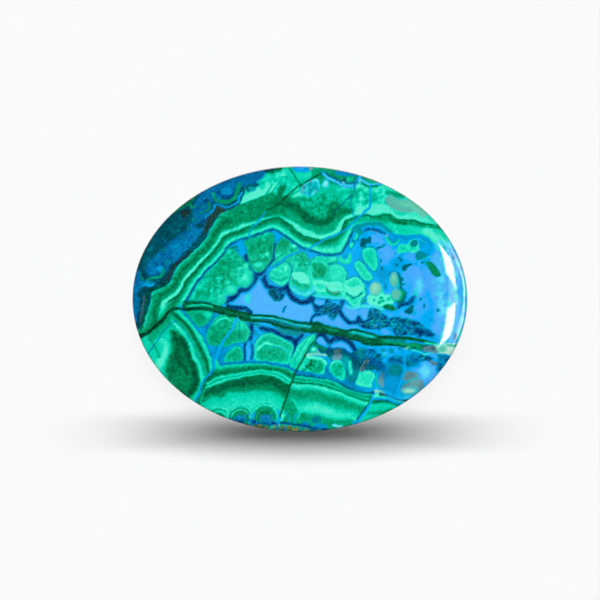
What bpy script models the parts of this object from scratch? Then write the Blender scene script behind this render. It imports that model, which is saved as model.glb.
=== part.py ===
"""Oval cabochon of chrysocolla with malachite and azurite: one polished stone.

Metres, +Z up. The origin is the middle of the flat back, +X runs along the long axis of
the oval and the domed, polished face looks up.
"""

import math

import bpy

# Driving dimensions of the oval and of its section.
LENGTH = 0.0380  # the oval's long axis
WIDTH = 0.0301  # the oval's short axis
THICKNESS = 0.0060  # flat back to the top of the dome
GIRDLE_TOP = 0.0016  # height at which the upright side turns into the dome
BACK_BEVEL = 0.0005  # bevel between the flat back and the side
DOME_POWER = 2.25  # 2 is an elliptical dome, more is flatter on top and steeper at the rim

# How finely the turned section is divided.
OVAL_STEPS = 96
DOME_RINGS = 18

# Malachite green, as one colour for the solid.
STONE_COLOUR = (0.02, 0.42, 0.33, 1.0)
STONE_ROUGHNESS = 0.08

HALF_LENGTH = LENGTH / 2
DOME_HEIGHT = THICKNESS - GIRDLE_TOP


def clear_scene():
    """Remove every object that the scene starts with."""
    for obj in list(bpy.data.objects):
        bpy.data.objects.remove(obj, do_unlink=True)


def dome_section():
    """(radius, height) points from the top of the dome out to the girdle.

    The points are spaced by angle, so they crowd where the dome falls away to the side.
    """
    points = []
    for ring in range(DOME_RINGS + 1):
        angle = math.pi / 2 * ring / DOME_RINGS
        radius = HALF_LENGTH * math.sin(angle) ** (2 / DOME_POWER)
        height = GIRDLE_TOP + DOME_HEIGHT * math.cos(angle) ** (2 / DOME_POWER)
        points.append((radius, height))
    return points


def stone_section():
    """Half of the stone's section, from the top of the dome to the middle of the back."""
    back = [
        (HALF_LENGTH, BACK_BEVEL),
        (HALF_LENGTH - BACK_BEVEL, 0.0),
        (0.0, 0.0),
    ]
    return dome_section() + back


def polish_material():
    """The polished stone as one plain colour."""
    material = bpy.data.materials.new("polished_stone")
    material.use_nodes = True
    shader = material.node_tree.nodes["Principled BSDF"]
    shader.inputs["Base Color"].default_value = STONE_COLOUR
    shader.inputs["Roughness"].default_value = STONE_ROUGHNESS
    shader.inputs["Metallic"].default_value = 0.0
    return material


def make_stone(collection):
    """Turn the section about Z into a round cabochon, then narrow it to the oval."""
    section = stone_section()
    mesh = bpy.data.meshes.new("stone")
    corners = [(radius, 0.0, height) for radius, height in section]
    edges = [(i, i + 1) for i in range(len(corners) - 1)]
    mesh.from_pydata(corners, edges, [])
    stone = bpy.data.objects.new("stone", mesh)
    collection.objects.link(stone)

    turn = stone.modifiers.new("turn", "SCREW")
    turn.axis = "Z"
    turn.steps = OVAL_STEPS
    turn.render_steps = OVAL_STEPS
    turn.use_merge_vertices = True
    turn.merge_threshold = 0.00001
    turn.use_smooth_shade = True

    stone.scale = (1.0, WIDTH / LENGTH, 1.0)
    mesh.materials.append(polish_material())
    return stone


def main():
    clear_scene()
    collection = bpy.data.collections.new("chrysocolla_cabochon")
    bpy.context.scene.collection.children.link(collection)
    make_stone(collection)


main()
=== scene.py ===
# %% [markdown]
# # An oval cabochon of chrysocolla and malachite
#
# The object is one stone: a slab in which blue chrysocolla and banded green malachite
# grew side by side, cut to an oval, domed and polished. Its shape is simple and follows
# a rule. Its looks are all in the pattern, so most of this lesson is about pattern.
#
# The frame comes first. It is the measured solid, in metres, and the dressed stone has
# to fill the same box.

# %% Load the frame
import math

import bpy
import numpy as np
from mathutils import Matrix, Vector


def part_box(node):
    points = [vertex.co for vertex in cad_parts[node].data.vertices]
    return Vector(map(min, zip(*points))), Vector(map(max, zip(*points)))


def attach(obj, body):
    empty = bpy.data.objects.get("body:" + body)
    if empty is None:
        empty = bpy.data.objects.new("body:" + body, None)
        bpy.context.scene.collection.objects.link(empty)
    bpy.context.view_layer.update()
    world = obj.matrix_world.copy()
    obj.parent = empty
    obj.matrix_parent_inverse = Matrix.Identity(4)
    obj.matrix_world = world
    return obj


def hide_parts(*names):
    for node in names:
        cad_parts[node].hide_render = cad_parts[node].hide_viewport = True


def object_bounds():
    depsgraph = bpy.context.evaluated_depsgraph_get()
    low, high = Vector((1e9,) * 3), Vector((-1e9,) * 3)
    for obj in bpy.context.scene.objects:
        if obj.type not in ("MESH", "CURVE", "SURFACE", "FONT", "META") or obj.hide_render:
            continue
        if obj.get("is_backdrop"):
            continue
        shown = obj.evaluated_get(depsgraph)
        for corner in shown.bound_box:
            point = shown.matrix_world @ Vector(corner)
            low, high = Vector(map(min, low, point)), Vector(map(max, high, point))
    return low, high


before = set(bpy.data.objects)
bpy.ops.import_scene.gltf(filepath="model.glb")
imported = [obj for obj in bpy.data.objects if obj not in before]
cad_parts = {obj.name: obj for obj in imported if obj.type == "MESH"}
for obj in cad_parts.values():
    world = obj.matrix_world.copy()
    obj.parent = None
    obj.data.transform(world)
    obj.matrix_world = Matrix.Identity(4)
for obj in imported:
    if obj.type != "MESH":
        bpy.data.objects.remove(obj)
cad_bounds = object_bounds()
low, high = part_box("stone")
HALF_LENGTH = (high[0] - low[0]) / 2
HALF_WIDTH = (high[1] - low[1]) / 2
THICKNESS = high[2] - low[2]
MM = 1000.0
stone_size = (2 * HALF_LENGTH, 2 * HALF_WIDTH, THICKNESS)
print("stone, mm:", [round(side * MM, 2) for side in stone_size])

# %% [markdown]
# ## Node maths as Python sums
#
# Both the shape and the material are node trees, and both need a good deal of arithmetic.
# Wiring Math nodes one by one hides the sum, so a small class wraps a socket: adding
# two wires adds the Math node. Everything else goes through one method that takes the
# node's type, its settings and the values or wires of its sockets.

# %% The wire class


def find_socket(sockets, key):
    """A socket by its place, its identifier or its name."""
    if isinstance(key, int):
        return sockets[key]
    for socket in sockets:
        if socket.identifier == key:
            return socket
    return sockets[key]


def set_stops(ramp, stops):
    """Give a colour ramp its stops: (place, colour) pairs, from 0 to 1."""
    ramp.interpolation = "LINEAR"
    while len(ramp.elements) < len(stops):
        ramp.elements.new(0.5)
    for element, (place, _) in zip(ramp.elements, stops):
        element.position = place
    for element, (place, colour) in zip(ramp.elements, stops):
        element.position = place
        element.color = colour


class Wire:
    """A socket of a node tree, so that node maths reads as a sum."""

    def __init__(self, tree, socket):
        self.tree = tree
        self.socket = socket

    @classmethod
    def node(cls, tree, kind, settings=None, values=None, out=0):
        """Add a node, set it up, feed its sockets and return one of its outputs."""
        node = tree.nodes.new(kind)
        for name, setting in (settings or {}).items():
            if name == "stops":
                set_stops(node.color_ramp, setting)
            else:
                setattr(node, name, setting)
        for key, value in (values or {}).items():
            socket = find_socket(node.inputs, key)
            if isinstance(value, Wire):
                tree.links.new(value.socket, socket)
            else:
                socket.default_value = value
        return cls(tree, find_socket(node.outputs, out))

    def math(self, operation, first, second=0.0, third=0.0):
        values = {0: first, 1: second, 2: third}
        return Wire.node(self.tree, "ShaderNodeMath", {"operation": operation}, values)

    def __add__(self, other):
        return self.math("ADD", self, other)

    __radd__ = __add__

    def __sub__(self, other):
        return self.math("SUBTRACT", self, other)

    def __rsub__(self, other):
        return self.math("SUBTRACT", other, self)

    def __mul__(self, other):
        return self.math("MULTIPLY", self, other)

    __rmul__ = __mul__

    def __truediv__(self, other):
        return self.math("DIVIDE", self, other)

    def __rtruediv__(self, other):
        return self.math("DIVIDE", other, self)

    def __pow__(self, other):
        return self.math("POWER", self, other)

    def at_least(self, other):
        return self.math("MAXIMUM", self, other)

    def at_most(self, other):
        return self.math("MINIMUM", self, other)


# %% [markdown]
# ## The cabochon's shape
#
# A lapidary grinds the blank to an oval, leaves an upright girdle for the setting, then
# turns the top against the wheel until it is a dome. The result follows a rule: a
# section that is turned about the middle and narrowed to the oval. It could be lofted by
# hand, but a rule suits Geometry Nodes. A finely divided cube is wrapped on to the
# rule: its top face becomes the dome, its sides the girdle and bevel, its bottom the flat
# back. A cube has no pole, so the points are spread evenly and can carry the pattern.

# %% Sizes of the section
GIRDLE_TOP = 0.0016
BACK_BEVEL = 0.0005
DOME_POWER = 2.25
SQUARES_LONG = 246
SQUARES_SHORT = 194
SQUARES_UP = 4
BEVEL_ROW = 0.75  # share of the way down the side at which the bevel starts
SECTION_POINTS = 401


# %% The tree that shapes the stone


def make_inputs(tree, sizes):
    tree.interface.new_socket("Stone", in_out="OUTPUT", socket_type="NodeSocketGeometry")
    found = {}
    for name, (kind, value) in sizes.items():
        socket = tree.interface.new_socket(name, in_out="INPUT", socket_type="NodeSocket" + kind)
        if value is not None:
            socket.default_value = value
        found[name] = socket.identifier
    return found


def dome_section(tree, size):
    """The dome's section as a curve in the XZ plane, from the top out to the girdle."""
    line = Wire.node(tree, "GeometryNodeMeshLine", None, {"Count": SECTION_POINTS})
    angle = Wire.node(tree, "GeometryNodeInputIndex") * (math.pi / 2 / (SECTION_POINTS - 1))
    across = angle.math("SINE", angle).at_least(0.0) ** (2.0 / size["Dome Power"])
    up = angle.math("COSINE", angle).at_least(0.0) ** (2.0 / size["Dome Power"])
    height = size["Girdle Top"] + up * (size["Thickness"] - size["Girdle Top"])
    place = Wire.node(tree, "ShaderNodeCombineXYZ", None, {"X": across, "Z": height})
    bent = Wire.node(tree, "GeometryNodeSetPosition", None, {"Geometry": line, "Position": place})
    return Wire.node(tree, "GeometryNodeMeshToCurve", None, {"Mesh": bent})


def shape_tree():
    """The node tree that wraps a cube on to the cabochon, and its inputs' identifiers."""
    tree = bpy.data.node_groups.new("cabochon_shape", "GeometryNodeTree")
    names = make_inputs(tree, {
        "Half Length": ("Float", 0.019),
        "Half Width": ("Float", 0.015),
        "Thickness": ("Float", 0.006),
        "Girdle Top": ("Float", 0.0016),
        "Back Bevel": ("Float", 0.0005),
        "Dome Power": ("Float", 2.25),
        "Squares Long": ("Int", 40),
        "Squares Short": ("Int", 30),
        "Squares Up": ("Int", 4),
        "Finish": ("Material", None),
    })
    group_in = tree.nodes.new("NodeGroupInput")
    size = {name: Wire(tree, group_in.outputs[name]) for name in names}

    cube = Wire.node(tree, "GeometryNodeMeshCube", None, {
        "Size": (2.0, 2.0, 2.0),
        "Vertices X": size["Squares Long"] + 1,
        "Vertices Y": size["Squares Short"] + 1,
        "Vertices Z": size["Squares Up"] + 1,
    })
    corner = Wire.node(tree, "GeometryNodeInputPosition")
    x, y, z = (Wire.node(tree, "ShaderNodeSeparateXYZ", None, {0: corner}, axis) for axis in "XYZ")

    # Rings of the square become rings of the circle, with even steps along each ring.
    width = x.math("ABSOLUTE", x)
    depth = y.math("ABSOLUTE", y)
    ring = width.at_least(depth)
    sideways = width.math("GREATER_THAN", width + 1e-6, depth)
    flat_turn = (y / x) * (math.pi / 4)
    steep_turn = math.pi / 2 - (x / y) * (math.pi / 4)
    turn = steep_turn + sideways * (flat_turn - steep_turn)
    sign = y.math("SIGN", y + sideways * (x - y))
    east = sign * turn.math("COSINE", turn)
    north = sign * turn.math("SINE", turn)

    # Radius and height of each point: on the dome, down the side, or on the back.
    curve = dome_section(tree, size)
    sample = Wire.node(tree, "GeometryNodeSampleCurve", {"mode": "FACTOR"},
                       {"Curves": curve, "Factor": ring}, "Position")
    dome_radius = Wire.node(tree, "ShaderNodeSeparateXYZ", None, {0: sample}, "X")
    dome_height = Wire.node(tree, "ShaderNodeSeparateXYZ", None, {0: sample}, "Z")
    inset = size["Back Bevel"] / size["Half Length"]
    down = (1.0 - z) * 0.5
    wall = (down / BEVEL_ROW).at_most(1.0)
    bevel = ((down - BEVEL_ROW) / (1.0 - BEVEL_ROW)).at_least(0.0)
    side_radius = 1.0 - inset * bevel
    side_height = (size["Girdle Top"] - (size["Girdle Top"] - size["Back Bevel"]) * wall
                   - size["Back Bevel"] * bevel)
    on_top = z.math("GREATER_THAN", z, 0.999)
    on_back = z.math("LESS_THAN", z, -0.999)
    radius = side_radius + on_top * (dome_radius - side_radius)
    radius = radius + on_back * ((1.0 - inset) * ring - radius)
    height = side_height + on_top * (dome_height - side_height)
    height = height - on_back * height

    place = Wire.node(tree, "ShaderNodeCombineXYZ", None, {
        "X": east * radius * size["Half Length"],
        "Y": north * radius * size["Half Width"],
        "Z": height,
    })
    shaped = Wire.node(tree, "GeometryNodeSetPosition", None, {"Geometry": cube, "Position": place})
    smooth = Wire.node(tree, "GeometryNodeSetShadeSmooth", None, {"Geometry": shaped})
    real = Wire.node(tree, "GeometryNodeRealizeInstances", None, {"Geometry": smooth})
    dressed = Wire.node(tree, "GeometryNodeSetMaterial", None,
                        {"Geometry": real, "Material": size["Finish"]})
    group_out = tree.nodes.new("NodeGroupOutput")
    tree.links.new(dressed.socket, group_out.inputs[0])
    return tree, names


# %% Shape the stone and take it as a plain mesh


def make_stone(finish):
    """Run the shape tree and return the cabochon as a plain mesh object."""
    tree, names = shape_tree()
    holder = bpy.data.objects.new("shape_holder", bpy.data.meshes.new("shape_holder"))
    bpy.context.scene.collection.objects.link(holder)
    wrap = holder.modifiers.new("shape", "NODES")
    wrap.node_group = tree
    for name, value in {
        "Half Length": HALF_LENGTH, "Half Width": HALF_WIDTH, "Thickness": THICKNESS,
        "Girdle Top": GIRDLE_TOP, "Back Bevel": BACK_BEVEL, "Dome Power": DOME_POWER,
        "Squares Long": SQUARES_LONG, "Squares Short": SQUARES_SHORT, "Squares Up": SQUARES_UP,
        "Finish": finish,
    }.items():
        wrap[names[name]] = value
    evaluated = holder.evaluated_get(bpy.context.evaluated_depsgraph_get())
    mesh = bpy.data.meshes.new_from_object(evaluated)
    mesh.name = "cabochon"
    bpy.data.objects.remove(holder, do_unlink=True)
    mesh.set_sharp_from_angle(angle=math.radians(30))
    piece = bpy.data.objects.new("cabochon", mesh)
    bpy.context.scene.collection.objects.link(piece)
    return piece


polish = bpy.data.materials.new("polished_chrysocolla")
stone = make_stone(polish)
print("stone mesh:", len(stone.data.vertices), "points,", len(stone.data.polygons), "faces")

# %% [markdown]
# ## How the pattern is carried
#
# The blue and the green are two minerals that filled a cavity one after the other, with
# cracks and veins drawn through them later. Nothing about it is raised, so it is carried
# as numbers on the mesh's points: a tone from dark to light, and the share of each mineral.
# The material turns those into colour and adds the grain that is finer than the mesh.
#
# The pattern goes through the slab rather than lying on it. Each point is therefore
# looked up where its layer of the slab meets the top, and since the layers dip a little,
# the sides and the back show the same bands shifted. The marks are drawn flat, as an eye
# straight above the stone sees them, and that eye sees the high middle of the dome a
# little larger than its edge, so lookups spread outwards by the same amount.

# %% Look up each point's place in the slab
LAYER_DIP = (0.22, -0.15)  # how far the layers shift sideways for each millimetre down
EYE_DISTANCE = 255.2  # millimetres from the girdle up to the eye that the marks are drawn for
DRAWING_SHIFT = (-0.104, 0.1)  # where the middle of the stone is on the drawing, in millimetres
NOISE_CELLS = 128


def wander(x, y, size, seed):
    """Smooth random hills from -1 to 1, about `size` millimetres across."""
    lattice = np.random.default_rng(seed).uniform(-1.0, 1.0, (NOISE_CELLS, NOISE_CELLS))
    column, row = np.floor(x / size).astype(int), np.floor(y / size).astype(int)
    u, v = x / size - column, y / size - row
    u, v = u * u * (3 - 2 * u), v * v * (3 - 2 * v)
    near_row = lattice[row % NOISE_CELLS, column % NOISE_CELLS] * (1 - u)
    near_row = near_row + lattice[row % NOISE_CELLS, (column + 1) % NOISE_CELLS] * u
    far_row = lattice[(row + 1) % NOISE_CELLS, column % NOISE_CELLS] * (1 - u)
    far_row = far_row + lattice[(row + 1) % NOISE_CELLS, (column + 1) % NOISE_CELLS] * u
    return near_row * (1 - v) + far_row * v


points = np.empty(len(stone.data.vertices) * 3)
stone.data.vertices.foreach_get("co", points)
point_x, point_y, point_z = points.reshape(-1, 3).T * MM
reach = np.hypot(point_x / (HALF_LENGTH * MM), point_y / (HALF_WIDTH * MM)).clip(0.0, 1.0)
dome_z = (1 - reach**DOME_POWER) ** (1 / DOME_POWER) * (THICKNESS - GIRDLE_TOP) * MM + GIRDLE_TOP * MM
depth = np.maximum(dome_z - point_z, 0.0)
spread = EYE_DISTANCE / (EYE_DISTANCE - (dome_z - GIRDLE_TOP * MM))
slab_x = point_x * spread + DRAWING_SHIFT[0] + LAYER_DIP[0] * depth
slab_y = point_y * spread + DRAWING_SHIFT[1] + LAYER_DIP[1] * depth
print("deepest point below the dome, mm:", round(float(depth.max()), 2))

# %% [markdown]
# ## Tools for laying down a mineral
#
# Everything in the pattern is one of four kinds of mark: a vein or crack that follows a
# route, a patch with an outline, a soft spot, or a set of bands between guide lines, as
# malachite grows in layers over a surface. Each mark says which mineral it is and how
# light, and covers what was there before, in the order in which the stone grew.

# %% Distances to routes and outlines
FAR_AWAY = 99.0
ROUTE_STEPS = 4


def smooth(route, closed=False):
    """Run a smooth curve through the points of a route (Catmull and Rom's curve)."""
    route = [np.array(point, float) for point in route]
    if closed:
        ends = [route[-1]] + route + [route[0], route[1]]
    else:
        ends = [2 * route[0] - route[1]] + route + [2 * route[-1] - route[-2]]
    curve = []
    for before, start, stop, after in zip(ends, ends[1:], ends[2:], ends[3:]):
        for step in range(ROUTE_STEPS):
            t = step / ROUTE_STEPS
            pull = (2 * start + (stop - before) * t
                    + (2 * before - 5 * start + 4 * stop - after) * t**2
                    + (3 * start - before - 3 * stop + after) * t**3)
            curve.append(tuple(pull / 2))
    if not closed:
        curve.append(tuple(route[-1]))
    return curve


def distance_to(curve, x, y):
    """Distance of each point to the curve, and how far along the curve that is."""
    nearest = np.full(len(x), FAR_AWAY)
    along = np.zeros(len(x))
    passed = 0.0
    for (start_x, start_y), (stop_x, stop_y) in zip(curve, curve[1:]):
        run, rise = stop_x - start_x, stop_y - start_y
        length = math.hypot(run, rise) + 1e-9
        share = (((x - start_x) * run + (y - start_y) * rise) / length**2).clip(0, 1)
        gap = np.hypot(x - start_x - share * run, y - start_y - share * rise)
        along = np.where(gap < nearest, passed + share * length, along)
        nearest = np.minimum(nearest, gap)
        passed += length
    return nearest, along


def is_inside(outline, x, y):
    """Whether each point is inside a closed outline: it is if a ray crosses it an odd number of times."""
    found = np.zeros(len(x), bool)
    for (start_x, start_y), (stop_x, stop_y) in zip(outline, outline[1:] + outline[:1]):
        spans = (start_y > y) != (stop_y > y)
        rise = stop_y - start_y or 1e-9
        found ^= spans & (x < start_x + (y - start_y) / rise * (stop_x - start_x))
    return found


def beside(route, gap):
    """The same route moved sideways, to its left if the gap is positive."""
    moved = []
    for before, (x, y), after in zip(route[:1] + route, route, route[1:] + route[-1:]):
        run, rise = after[0] - before[0], after[1] - before[1]
        length = math.hypot(run, rise)
        moved.append((x - rise / length * gap, y + run / length * gap))
    return moved


def fade(depth, soft):
    """From 0 to 1 as the depth inside an edge goes from -soft to soft."""
    t = (depth / (2 * soft) + 0.5).clip(0, 1)
    return t * t * (3 - 2 * t)


# %% The slab and its marks
CRISP = 0.09  # millimetres over which a crisp edge turns from one mineral to the next
BLUE = "chrysocolla"
GREEN = "malachite"
TEAL = "teal"
GREY = "grey"
EARTH = "earth"
MINERALS = (GREEN, TEAL, GREY, EARTH)  # what is none of these is chrysocolla
GEL_TONE = 0.66  # the tone of the gel before anything is laid on it
WANDER = 0.06  # millimetres by which marks wander from their routes, at each of two sizes


class Slab:
    """What the slab is made of, at every point of the mesh."""

    def __init__(self, x, y):
        self.x = x + WANDER * wander(x, y, 1.1, 3) + WANDER * wander(x, y, 0.45, 4)
        self.y = y + WANDER * wander(x, y, 1.1, 5) + WANDER * wander(x, y, 0.45, 6)
        self.layers = {name: np.zeros(len(x)) for name in MINERALS}
        self.layers["tone"] = np.full(len(x), GEL_TONE)
        self.along = self.x.copy()
        self.across = self.y.copy()

    def near(self, route, margin):
        xs, ys = zip(*route)
        wide = (self.x > min(xs) - margin) & (self.x < max(xs) + margin)
        return np.flatnonzero(wide & (self.y > min(ys) - margin) & (self.y < max(ys) + margin))

    def lay(self, where, cover, mineral, tone):
        """Let a mineral cover what is there; "same" only changes the tone."""
        for name, layer in self.layers.items():
            if name == "tone":
                layer[where] += (tone - layer[where]) * cover
            elif mineral != "same":
                layer[where] += (float(name == mineral) - layer[where]) * cover

    def vein(self, mineral, tone, width, route, soft=CRISP, strength=1.0):
        """A mark that follows a route; width is one number or its start and end widths."""
        curve = smooth(route)
        start, end = width if isinstance(width, tuple) else (width, width)
        where = self.near(curve, max(start, end) / 2 + soft)
        gap, along = distance_to(curve, self.x[where], self.y[where])
        half = (start + (end - start) * along / (along.max(initial=0.0) + 1e-9)) / 2
        self.lay(where, strength * fade(half - gap, soft), mineral, tone)

    def patch(self, mineral, tone, outline, soft=CRISP, strength=1.0, rim=None, rim_width=0.35):
        """A mark with an outline; rim is the tone that it takes towards its edge."""
        curve = smooth(outline, closed=True)
        where = self.near(curve, soft)
        x, y = self.x[where], self.y[where]
        depth = distance_to(curve + curve[:1], x, y)[0] * np.where(is_inside(curve, x, y), 1, -1)
        if rim is not None:
            tone = tone + (rim - tone) * np.exp(-((depth / rim_width) ** 2))
        self.lay(where, strength * fade(depth, soft), mineral, tone)

    def spot(self, mineral, tone, x, y, wide, high, soft=0.5, strength=1.0):
        """A round or oval mark with these half sizes; soft is the share of it that fades."""
        where = self.near([(x, y)], 1.3 * max(wide, high))
        reach = np.hypot((self.x[where] - x) / wide, (self.y[where] - y) / high)
        self.lay(where, strength * fade(1 - reach, soft), mineral, tone)

    def scatter(self, grains, outline, size, count, seed, soft=0.5, strength=0.8):
        """Fill an outline with small grains, each drawn from a list of (mineral, tone)."""
        draw = np.random.default_rng(seed)
        xs, ys = zip(*outline)
        spots = np.column_stack([
            draw.uniform(min(xs), max(xs), count), draw.uniform(min(ys), max(ys), count),
            draw.uniform(0.6, 1.4, count), draw.uniform(0.6, 1.4, count)])
        chosen = draw.integers(0, len(grains), count)
        kept = is_inside(list(outline), spots[:, 0], spots[:, 1])
        for (x, y, wide, high), pick in zip(spots[kept], chosen[kept]):
            mineral, tone = grains[pick]
            self.spot(mineral, tone, x, y, size * wide, size * high, soft, strength)

    def bands(self, guides, far, tones, zone, lead=()):
        """Malachite between guide lines: its tone follows the level, which is 0 on the first
        guide, 1 on the second, and so on. far closes each guide round the side it grows to."""
        where = self.near(zone, 0.3)
        x, y = self.x[where], self.y[where]
        signed = []
        for number, guide in enumerate(guides):
            curve = smooth(guide)
            before = [point for point in lead if point[0] < guide[0][0]]
            grown = is_inside(before + curve + list(far), x, y)
            gap, along = distance_to(curve, x, y)
            signed.append(gap * np.where(grown, 1, -1))
            if number == 1:
                self.along[where] = along
                self.across[where] = signed[1]
        level = np.zeros(len(x))
        for this, following in zip(signed, signed[1:]):
            level += (this / np.maximum(this - following, 1e-3)).clip(0, 1)
        level += np.maximum(signed[-1], 0)
        level += 0.03 * wander(x, y, 0.35, 11)
        outline = distance_to(zone + zone[:1], x, y)[0] * np.where(is_inside(zone, x, y), 1, -1)
        cover = fade(signed[0], CRISP) * fade(outline, CRISP)
        self.lay(where, cover, GREEN, np.interp(level, *zip(*tones)))


slab = Slab(slab_x, slab_y)
print("wander of the lookup, mm:", round(float(np.abs(slab.x - slab_x).max()), 3))

# %% [markdown]
# ## The blue ground
#
# Chrysocolla filled the cavity first as a blue gel, paler where it is thick and clear,
# darker where it holds other copper minerals. The ground is a set of wide, soft spots.
# One pale spot at the dome's right end is painted haze round the highlights there.

# %% Ground of chrysocolla
# mineral, tone, x, y, half width, half height
GROUND_AND_PAINTED_HAZE = [
    (BLUE, 0.6, -7, 4, 7, 5), (BLUE, 0.86, -2.5, -0.6, 5.5, 1.9), (BLUE, 0.84, 5.5, -1.8, 4.5, 1.6),
    (BLUE, 0.7, 12.5, 2, 5.5, 6), (BLUE, 0.86, 9.6, 4.8, 1.6, 1.4), (BLUE, 0.84, 8.8, 6.8, 0.8, 0.6),
    (BLUE, 0.84, 13.2, 2.6, 1.6, 2.6), (BLUE, 0.56, 9.4, 3, 0.7, 1.5), (BLUE, 0.6, 10.6, 4.1, 1.2, 0.7),
    (BLUE, 0.62, 12.4, 4.6, 1, 0.8), (BLUE, 0.58, 14.6, 5.2, 1.2, 0.8), (TEAL, 0.66, 14.2, 6.4, 1.3, 0.5),
    (BLUE, 0.58, 12.2, 7, 1.6, 0.5), (BLUE, 0.6, 6.9, 4.9, 0.5, 1.2), (TEAL, 0.6, 6.5, 7.7, 0.5, 0.8),
    (BLUE, 0.68, 8.6, 8.25, 1.6, 0.3), (TEAL, 0.82, 13.5, 1.9, 0.4, 1.3), (TEAL, 0.8, 13.1, 0.6, 0.35, 0.9),
    (BLUE, 0.64, 12.3, 2.2, 0.4, 1.2), (BLUE, 0.66, 14.5, 1.3, 0.35, 1.4), (TEAL, 0.88, 15.4, 1.2, 0.5, 1.6),
    # the last spot of the next row, tone 0.96 at (16.8, 1.2), is painted haze round the highlights
    (TEAL, 0.84, 15.3, -1.6, 0.5, 0.8), (BLUE, 0.62, 14.3, 3.4, 0.5, 1), (BLUE, 0.96, 16.8, 1.2, 1.7, 4.2),
    (BLUE, 0.7, 11.5, -1.4, 3.4, 1.2), (BLUE, 0.8, 10.2, -6.2, 1.6, 1.2), (TEAL, 0.55, 6.5, -6.8, 2.2, 1.4),
    (TEAL, 0.5, 10.6, -8.4, 1.4, 1.6), (BLUE, 0.62, 13.6, -6.9, 2.2, 1), (TEAL, 0.6, -1.5, -3.6, 2.2, 0.5),
    (TEAL, 0.62, -5.5, -3.3, 1, 0.9), (BLUE, 0.8, -5.9, -5.9, 0.9, 1.3), (BLUE, 0.5, -9.2, -6.2, 0.9, 1.1),
    (BLUE, 0.46, -10.4, -2.7, 0.8, 1.4), (BLUE, 0.5, -1.2, -5.8, 0.5, 1.8), (BLUE, 0.44, 3, -8.4, 0.8, 0.9),
    (BLUE, 0.44, 5.6, -9.4, 0.9, 0.6),
]
for mineral, tone, x, y, wide, high in GROUND_AND_PAINTED_HAZE:
    slab.spot(mineral, tone, x, y, wide, high, soft=0.45)
# clouds in the chamber; the four of tone 0.98 near x = 16 are painted haze along the highlights
CHAMBER_CLOUDS_AND_PAINTED_HAZE = [
    (0.86, 8.5, 6.9, 0.7, 0.6), (0.86, 9.6, 4.6, 0.8, 1.1), (0.85, 12.4, 4.9, 0.9, 0.5),
    (0.86, 12.6, 2.7, 1, 1.4), (0.88, 14.5, 2.2, 1, 1.5), (0.84, 13.8, -0.6, 0.9, 0.9),
    (0.98, 15.7, 4.6, 0.9, 1.1), (0.98, 16.2, 1.8, 1, 1.7), (0.98, 16, -1.2, 0.9, 1.4),
    (0.98, 15.6, -3.2, 0.8, 0.9), (0.52, 9.3, 2.9, 0.7, 0.9), (0.54, 10.9, 4.2, 0.7, 0.6),
    (0.99, 13.5, 1.5, 0.4, 1.1), (0.56, 7, 4.9, 0.4, 1.1), (0.6, 14.4, 6.3, 0.9, 0.5),
    (0.85, 11.8, -1.9, 1.6, 0.5),
]
BLUES = [
    (BLUE, 0.56), (BLUE, 0.66), (BLUE, 0.78), (BLUE, 0.86), (TEAL, 0.78),
]
DARKER_BLUES = [(BLUE, 0.4), (BLUE, 0.52), (TEAL, 0.52), (BLUE, 0.66)]
RIGHT_SIDE = [(6, 8.6), (10, 8.2), (16, 6), (18.6, 2), (18, -4), (8, -3.4), (5, -1), (6, 4)]
LOWER_RIGHT = [(8, -5), (15.5, -5.9), (15.5, -7.5), (12, -11), (8.4, -10.4), (8, -8)]
slab.scatter(BLUES, RIGHT_SIDE, 0.55, 150, 41, soft=0.6, strength=0.45)
slab.scatter(DARKER_BLUES, RIGHT_SIDE, 0.2, 330, 42, soft=0.7, strength=0.5)
for tone, x, y, wide, high in CHAMBER_CLOUDS_AND_PAINTED_HAZE:
    slab.spot(BLUE, tone, x, y, wide, high, soft=0.6, strength=0.7)
slab.scatter(BLUES, LOWER_RIGHT, 0.4, 90, 43, soft=0.6, strength=0.6)
slab.scatter(DARKER_BLUES, LOWER_RIGHT, 0.2, 260, 44, soft=0.6, strength=0.6)
print("ground spots:", len(GROUND_AND_PAINTED_HAZE))

# %% [markdown]
# ## The green bands
#
# Malachite grew on the walls of the cavity in layers, each following the one before,
# so one guide line can be smoothed into the next. Four guides hold the great upper
# band; fewer do for the fan at the left and the arches along the bottom. A list of
# (level, tone) steps gives the light and dark layers between the guides.

# %% The great upper band
CRACK_LEAD = [(-30, -8), (-20, -5), (-18.5, -4.3), (-16.5, -3.1), (-15.5, -2)]
UPPER_CONTACT = [
    (-13.05, -0.15), (-12.5, 0.75), (-12, 1.7), (-11.5, 2.4), (-11, 3.05), (-10.5, 3.6), (-10, 3.95),
    (-9.5, 4.45), (-9, 5), (-8.7, 5.4), (-8.35, 6), (-8, 6.35), (-7.4, 6.6), (-6.7, 6.9), (-6, 7.05),
    (-5.4, 7.25), (-4.5, 7.55), (-3.6, 7.85), (-3, 7.95), (-2.5, 7.8), (-2, 7.45), (-1.5, 7.05), (-1, 6.65),
    (-0.4, 6.25), (0.2, 5.95), (0.8, 5.75), (1.5, 5.5), (2, 5.3), (3, 5.15), (4, 5.2), (4.6, 5.45), (5, 5.9),
    (5.3, 6.4), (5.5, 7), (5.7, 7.5), (5.9, 8), (6.3, 8.35), (7, 8.5), (8, 8.6), (9, 8.55), (9.7, 8.1),
    (10.3, 7.7), (11, 7.45), (12, 7.35), (13, 7.5), (13.6, 7.5), (14.2, 7.2), (15, 6.5), (15.6, 6),
    (16.2, 5.5), (17.5, 4.9), (20, 4),
]
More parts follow.
